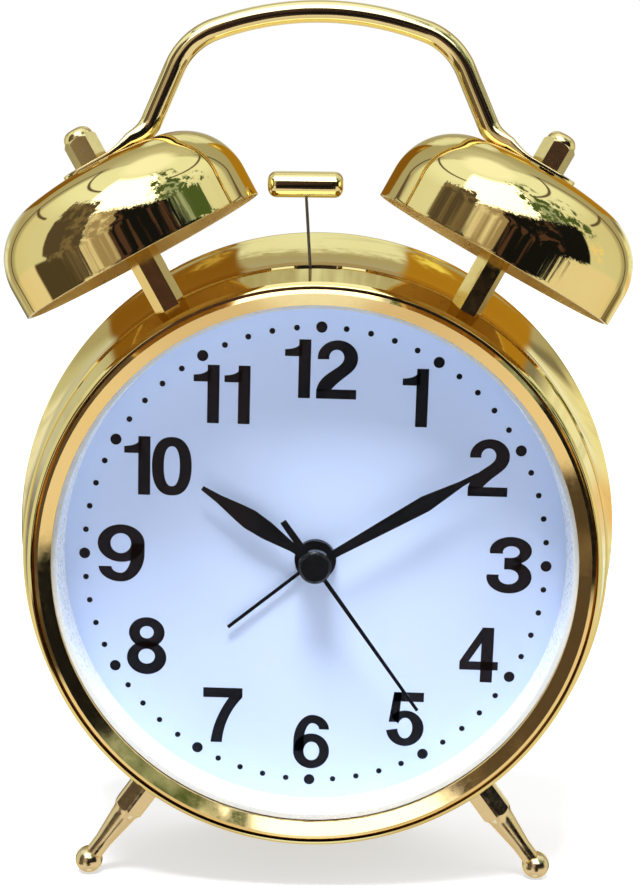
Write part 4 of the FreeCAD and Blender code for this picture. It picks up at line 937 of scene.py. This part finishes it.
def makeFloor():
    # a pale sheet, to which the camera adds a glow that grows where the lamps no longer reach
    half, white = studio["floorHalf"], studio["floorWhite"]
    mesh = bpy.data.meshes.new("floor")
    mesh.from_pydata([(-half, -half, 0), (half, -half, 0), (half, half, 0), (-half, half, 0)], [],
                     [(0, 1, 2, 3)])
    floor = addObject("floor", mesh)
    finish, tree, shader = startMaterial("paleFloor")
    space = objectSpace(tree)
    polished(tree, shader, noiseOf(tree, space, 60, 3), 0.58, 0.62)
    shader.inputs["Base Color"].default_value = (white, white, white, 1)
    shader.inputs["Specular IOR Level"].default_value = 0.1
    away = tree.nodes.new("ShaderNodeVectorMath")
    away.operation = "LENGTH"
    tree.links.new(space, away.inputs[0])
    reach = soften(tree, away.outputs["Value"], studio["glowStart"], studio["glowEnd"])
    level = reckon(tree, "MULTIPLY_ADD", reach, studio["floorFar"] - studio["floorGlow"],
                   studio["floorGlow"])
    rays = tree.nodes.new("ShaderNodeLightPath")
    glow = tree.nodes.new("ShaderNodeEmission")
    tree.links.new(times(tree, level, rays.outputs["Is Camera Ray"]), glow.inputs["Strength"])
    total = tree.nodes.new("ShaderNodeAddShader")
    tree.links.new(shader.outputs[0], total.inputs[0])
    tree.links.new(glow.outputs[0], total.inputs[1])
    tree.links.new(total.outputs[0], tree.nodes["Material Output"].inputs["Surface"])
    mesh.materials.append(finish)
    floor.visible_glossy = False  # gloss sees the pale ground of the surround instead
    floor.visible_transmission = False


# What the gloss sees, by compass angle from the camera's side and height, both in degrees: a pale
# ground, a bright sky, dark planting in front, pale fields beside, and behind a pale wall with, on
# either side, a painted reflection of the bells' insides, as the case's top would mirror them.
surround = {
    "ground": (0.90, 0.87, 0.74),
    "groundUnder": (0.76, 0.72, 0.63),
    "groundBelow": (1.0, 1.15, 1.25),
    "overhead": (1.15, 1.30, 1.35),
    "beside": (0.78, 0.84, 0.72),
    "besideHigh": (1.0, 1.15, 1.10),
    "behind": (0.48, 0.51, 0.46),
    "behindHigh": (0.66, 0.72, 0.66),
    "behindLow": (0.66, 0.76, 0.74),
    "behindLowRight": (1.02, 1.16, 1.10),
    "skylight": (0.95, 1.14, 1.30),
    "lightStrip": (1.0, 1.15, 1.35),
    "dusk": (0.26, 0.27, 0.26),
    "peach": (0.98, 0.80, 0.56),
    # painted reflection of the bells' insides as the case's top mirrors them, darker on the left, then its
    # painted glints
    "amber": (0.27, 0.14, 0.02),
    "amberRight": (0.48, 0.28, 0.03),
    "amberGlint": (0.60, 0.46, 0.13),
    "amberGlintRight": (1.05, 1.02, 0.32),
    "seam": (0.13, 0.10, 0.08),
    "glare": (2.6, 2.8, 3.2),
    "leaves": (0.08, 0.14, 0.05),
    "timber": (0.10, 0.08, 0.062),
    "earth": (0.40, 0.33, 0.24),
    "verge": (0.22, 0.18, 0.12),
    "ditch": (0.085, 0.07, 0.05),
    "shrub": (0.40, 0.52, 0.46),
    "hedge": (0.008, 0.009, 0.012),
    "twigs": (0.09, 0.05, 0.045),
    "blossom": (1.0, 0.88, 0.55),
}
surroundEdges = {  # the angles between which one colour gives way to the next
    "under": (-70, -46),
    "below": (-75, -80),
    "horizon": (-19, -15),
    "besideHigh": (20, 50),
    "rightSide": (-5, 5),
    "behindHigh": (48, 66),
    "behindLow": (15, 8),
    "behindLowSide": (136, 144),
    "skylight": (26, 34),
    "skylightSide": (160, 166),
    "skylightTop": (50, 44),
    "wallFoot": (-24, -16),
    "wallSide": (118, 126),
    # the side edge of the painted reflection of the bells
    "warmSide": (143, 146),
    "overhead": (68, 78),
    "seamTop": (60, 54),
    "dapple": (0.46, 0.53),  # these four are levels of noise
    "bark": (0.42, 0.62),
    "bareEarth": (0.45, 0.7),
    "twigs": (0.5, 0.58),
    "twigsSide": (48, 40),
}
# Patches in the order in which they cover one another: colour, compass angles, heights, softness and
# the kind of edge. A wild edge sways, and a dappled patch also has gaps.
behindPatches = [
    ("lightStrip", (-152, -141), (-9, 5), 2.0, "even"),
    ("dusk", (-170, -149), (-22, -5), 3.0, "even"),
    ("peach", (141, 160), (-10, -4), 2.0, "even"),
    ("dusk", (145, 157), (9, 15), 2.0, "even"),
]
patches = [
    ("ditch", (-90, -44), (-33, -17), 2.0, "even"),
    ("verge", (132, 172), (-30, -15), 3.0, "even"),
    ("glare", (-52, 34), (24, 68), 3.0, "even"),
    ("shrub", (40, 62), (20, 50), 3.0, "even"),
    ("leaves", (22, 66), (26, 68), 4.0, "dappled"),
    ("leaves", (62, 92), (16, 48), 4.0, "dappled"),
    ("bark", (-76, -35), (-20, 42), 1.5, "wild"),
    ("timber", (-78, -58), (-12, 24), 1.5, "even"),
    ("bareEarth", (-34, -4), (-18, 28), 1.5, "wild"),
    ("thicket", (-9, 71), (-17, 26), 1.5, "wild"),
    ("thicket", (-14, 20), (-42, -8), 1.5, "wild"),
    ("hedge", (52, 74), (-15, 21), 1.2, "even"),
    ("blossom", (76, 92), (-8, 10), 3.0, "dappled"),
]
eaves = [(54, 45), (26, 96)]  # thin dark lines: the height, and the compass angle where each starts


def makeSurround(tree):
    where = tree.nodes.new("ShaderNodeTexCoord")
    ray = where.outputs["Generated"]
    split = tree.nodes.new("ShaderNodeSeparateXYZ")
    tree.links.new(ray, split.inputs[0])
    x, y, z = split.outputs
    rough = noiseOf(tree, ray, 7.0, 6.0, 0.6)
    fine = noiseOf(tree, ray, 26.0, 5.0, 0.65)
    bush = noiseOf(tree, ray, 9.0, 3.0, 0.6)
    compass = reckon(tree, "DEGREES", reckon(tree, "ARCTAN2", x, times(tree, y, -1.0)))
    height = reckon(tree, "DEGREES", reckon(tree, "ARCSINE", z))
    side = reckon(tree, "ABSOLUTE", compass)

    def sway(angle, noise, swing):
        # the angle, moved by up to half the swing to either side
        return reckon(tree, "ADD", angle, reckon(tree, "MULTIPLY_ADD", noise, swing, -swing / 2))

    def rim(value, name):
        return soften(tree, value, *surroundEdges[name])

    def slant(value, other, slope, offset, low, high):
        # an edge where value + slope * other + offset passes through zero
        line = reckon(tree, "MULTIPLY_ADD", other, slope, offset)
        return soften(tree, reckon(tree, "ADD", value, line), low, high)

    def cover(under, over, *shares):
        return paintOver(tree, times(tree, *shares), under, over)

    def patch(under, over, across, up, soft, kind):
        even = kind == "even"
        shares = [between(tree, compass if even else wildCompass, *across, soft),
                  between(tree, height if even else wildHeight, *up, soft)]
        return cover(under, over, *shares, *([dapple] if kind == "dappled" else []))

    wildCompass, wildHeight = sway(compass, rough, 26.0), sway(height, fine, 22.0)
    dapple = rim(bush, "dapple")
    right = rim(compass, "rightSide")
    s = dict(surround)
    s["bark"] = cover(s["timber"], s["verge"], rim(rough, "bark"))
    s["bareEarth"] = cover(s["earth"], s["ground"], rim(rough, "bareEarth"))
    s["thicket"] = cover(s["hedge"], s["twigs"], rim(rough, "twigs"), rim(compass, "twigsSide"))
    view = cover(s["groundUnder"], s["ground"], rim(height, "under"))
    view = cover(view, s["groundBelow"], rim(height, "below"))
    field = cover(s["beside"], s["besideHigh"], rim(height, "besideHigh"))
    view = cover(view, field, rim(height, "horizon"))

    back = cover(s["behind"], s["behindHigh"], rim(height, "behindHigh"))
    back = cover(back, cover(s["behindLow"], s["behindLowRight"], right), rim(height, "behindLow"),
                 rim(side, "behindLowSide"))
    back = cover(back, s["skylight"], rim(side, "skylightSide"), rim(height, "skylightTop"),
                 rim(wildHeight, "skylight"))
    for name, *place in behindPatches:
        back = patch(back, s[name], *place)
    drawn = tree.nodes.new("ShaderNodeCombineXYZ")  # stretched along the compass
    tree.links.new(times(tree, height, 0.35), drawn.inputs[0])
    tree.links.new(times(tree, compass, 0.03), drawn.inputs[1])
    streaks = noiseOf(tree, drawn.outputs[0], 1.0, 3.0, 0.6)
    back = cover(back, s["behind"], spread(tree, streaks, 0.0, 0.35, 0.5, 0.62))
    # the painted reflection of the bells in the case's top: a slanting foot and far edge, an upright near
    # edge, a slanting roof
    bellReflectionMask = times(tree, slant(height, side, 0.84, -142.6, -0.8, 0.8),
                 slant(side, height, 0.42, -179.0, 0.8, -0.8))
    roof = slant(height, reckon(tree, "MINIMUM", side, 160), -0.95, 114, 1, -1)  # level past 160
    back = cover(back, cover(s["amber"], s["amberRight"], right),
                 times(tree, rim(side, "warmSide"), roof), bellReflectionMask)
    # a painted glint inside the painted reflection of the bells, brighter on the right
    back = cover(back, cover(s["amberGlint"], s["amberGlintRight"], right),
                 between(tree, side, 157.5, 162.5, 1.5), between(tree, wildHeight, 30, 35.5, 2.0))

    view = cover(view, back, rim(side, "wallSide"), rim(height, "wallFoot"))
    view = cover(view, s["overhead"], rim(height, "overhead"))
    view = cover(view, s["seam"], between(tree, side, 129, 131.5, 1.0), rim(height, "seamTop"))
    for level, start in eaves:
        view = cover(view, s["seam"], between(tree, height, level - 0.9, level + 0.9, 0.6),
                     between(tree, side, start, 130, 2.0))
    for name, *place in patches:
        view = patch(view, s[name], *place)
    return view


def makeWorld():
    # white for the camera and the lens, a soft vertical fall-off for the light, the surround for gloss
    world = bpy.data.worlds.new("studio")
    bpy.context.scene.world = world
    world.use_nodes = True
    tree = world.node_tree
    tree.nodes.clear()
    where = tree.nodes.new("ShaderNodeTexCoord")
    split = tree.nodes.new("ShaderNodeSeparateXYZ")
    tree.links.new(where.outputs["Generated"], split.inputs[0])
    low, high = studio["ambientLow"], studio["ambientHigh"]
    ambient = paintOver(tree, soften(tree, split.outputs["Z"], -0.2, 0.8), (low, low, low),
                        (high, high, high))
    rays = tree.nodes.new("ShaderNodeLightPath")
    bounced = reckon(tree, "MINIMUM", rays.outputs["Diffuse Depth"], 1.0)
    mirrored = reckon(tree, "MAXIMUM", rays.outputs["Is Glossy Ray"],
                      reckon(tree, "MINIMUM", rays.outputs["Glossy Depth"], 1.0))
    seen = paintOver(tree, mirrored, (1.0, 1.0, 1.0), makeSurround(tree))
    back = tree.nodes.new("ShaderNodeBackground")
    tree.links.new(paintOver(tree, bounced, seen, ambient), back.inputs["Color"])
    out = tree.nodes.new("ShaderNodeOutputWorld")
    tree.links.new(back.outputs[0], out.inputs["Surface"])


lampTarget = (0, 0, 0.07)
lamps = {  # place, width, height and radiance
    "keyLamp": ((-0.10, -0.36, 1.0), 0.40, 0.3, 47.0),
    "fillLamp": ((0.75, -0.35, 0.45), 0.5, 0.7, 1.2),
    "rearLamp": ((0.25, 0.75, 0.6), 0.8, 0.6, 1.6),
}


def makeLamps():
    for name, (place, width, height, radiance) in lamps.items():
        lamp = bpy.data.lights.new(name, "AREA")
        lamp.shape = "RECTANGLE"
        lamp.size, lamp.size_y = width, height
        lamp.energy = radiance * math.pi * width * height
        holder = addObject(name, lamp)
        holder.location = place
        aim = Vector(lampTarget) - Vector(place)
        holder.rotation_euler = aim.to_track_quat("-Z", "Y").to_euler()
        holder.visible_glossy = False  # the metal shows the surround, not the lamps' outlines


cameraView = {
    "lens": 63.55,
    "shift": 0.1162,
    "place": (0.00248, -0.29679, 0.12322),
    "turns": (-0.317, -11.207, 0.632),  # yaw, pitch and roll in degrees
    "near": 0.01,
}


def makeCamera():
    # a close portrait view, a little above the clock
    place = Vector(cameraView["place"])
    yaw, pitch, roll = (math.radians(a) for a in cameraView["turns"])
    forward = Vector((math.sin(yaw) * math.cos(pitch), math.cos(yaw) * math.cos(pitch), math.sin(pitch)))
    right = forward.cross(Vector((0, 0, 1))).normalized()
    up = right.cross(forward)
    across = right * math.cos(roll) + up * math.sin(roll)
    upward = up * math.cos(roll) - right * math.sin(roll)
    stance = Matrix((across, upward, -forward)).transposed().to_4x4()
    data = bpy.data.cameras.new("camera")
    data.sensor_width = 36
    data.sensor_fit = "AUTO"
    data.lens = cameraView["lens"]
    data.shift_y = cameraView["shift"]
    data.clip_start = cameraView["near"]
    camera = addObject("camera", data)
    camera.matrix_world = Matrix.Translation(place) @ stance
    bpy.context.scene.camera = camera


makeFloor()
makeWorld()
makeLamps()
makeCamera()
bpy.context.scene.view_settings.view_transform = "Standard"
print("stage, lamps and camera set")
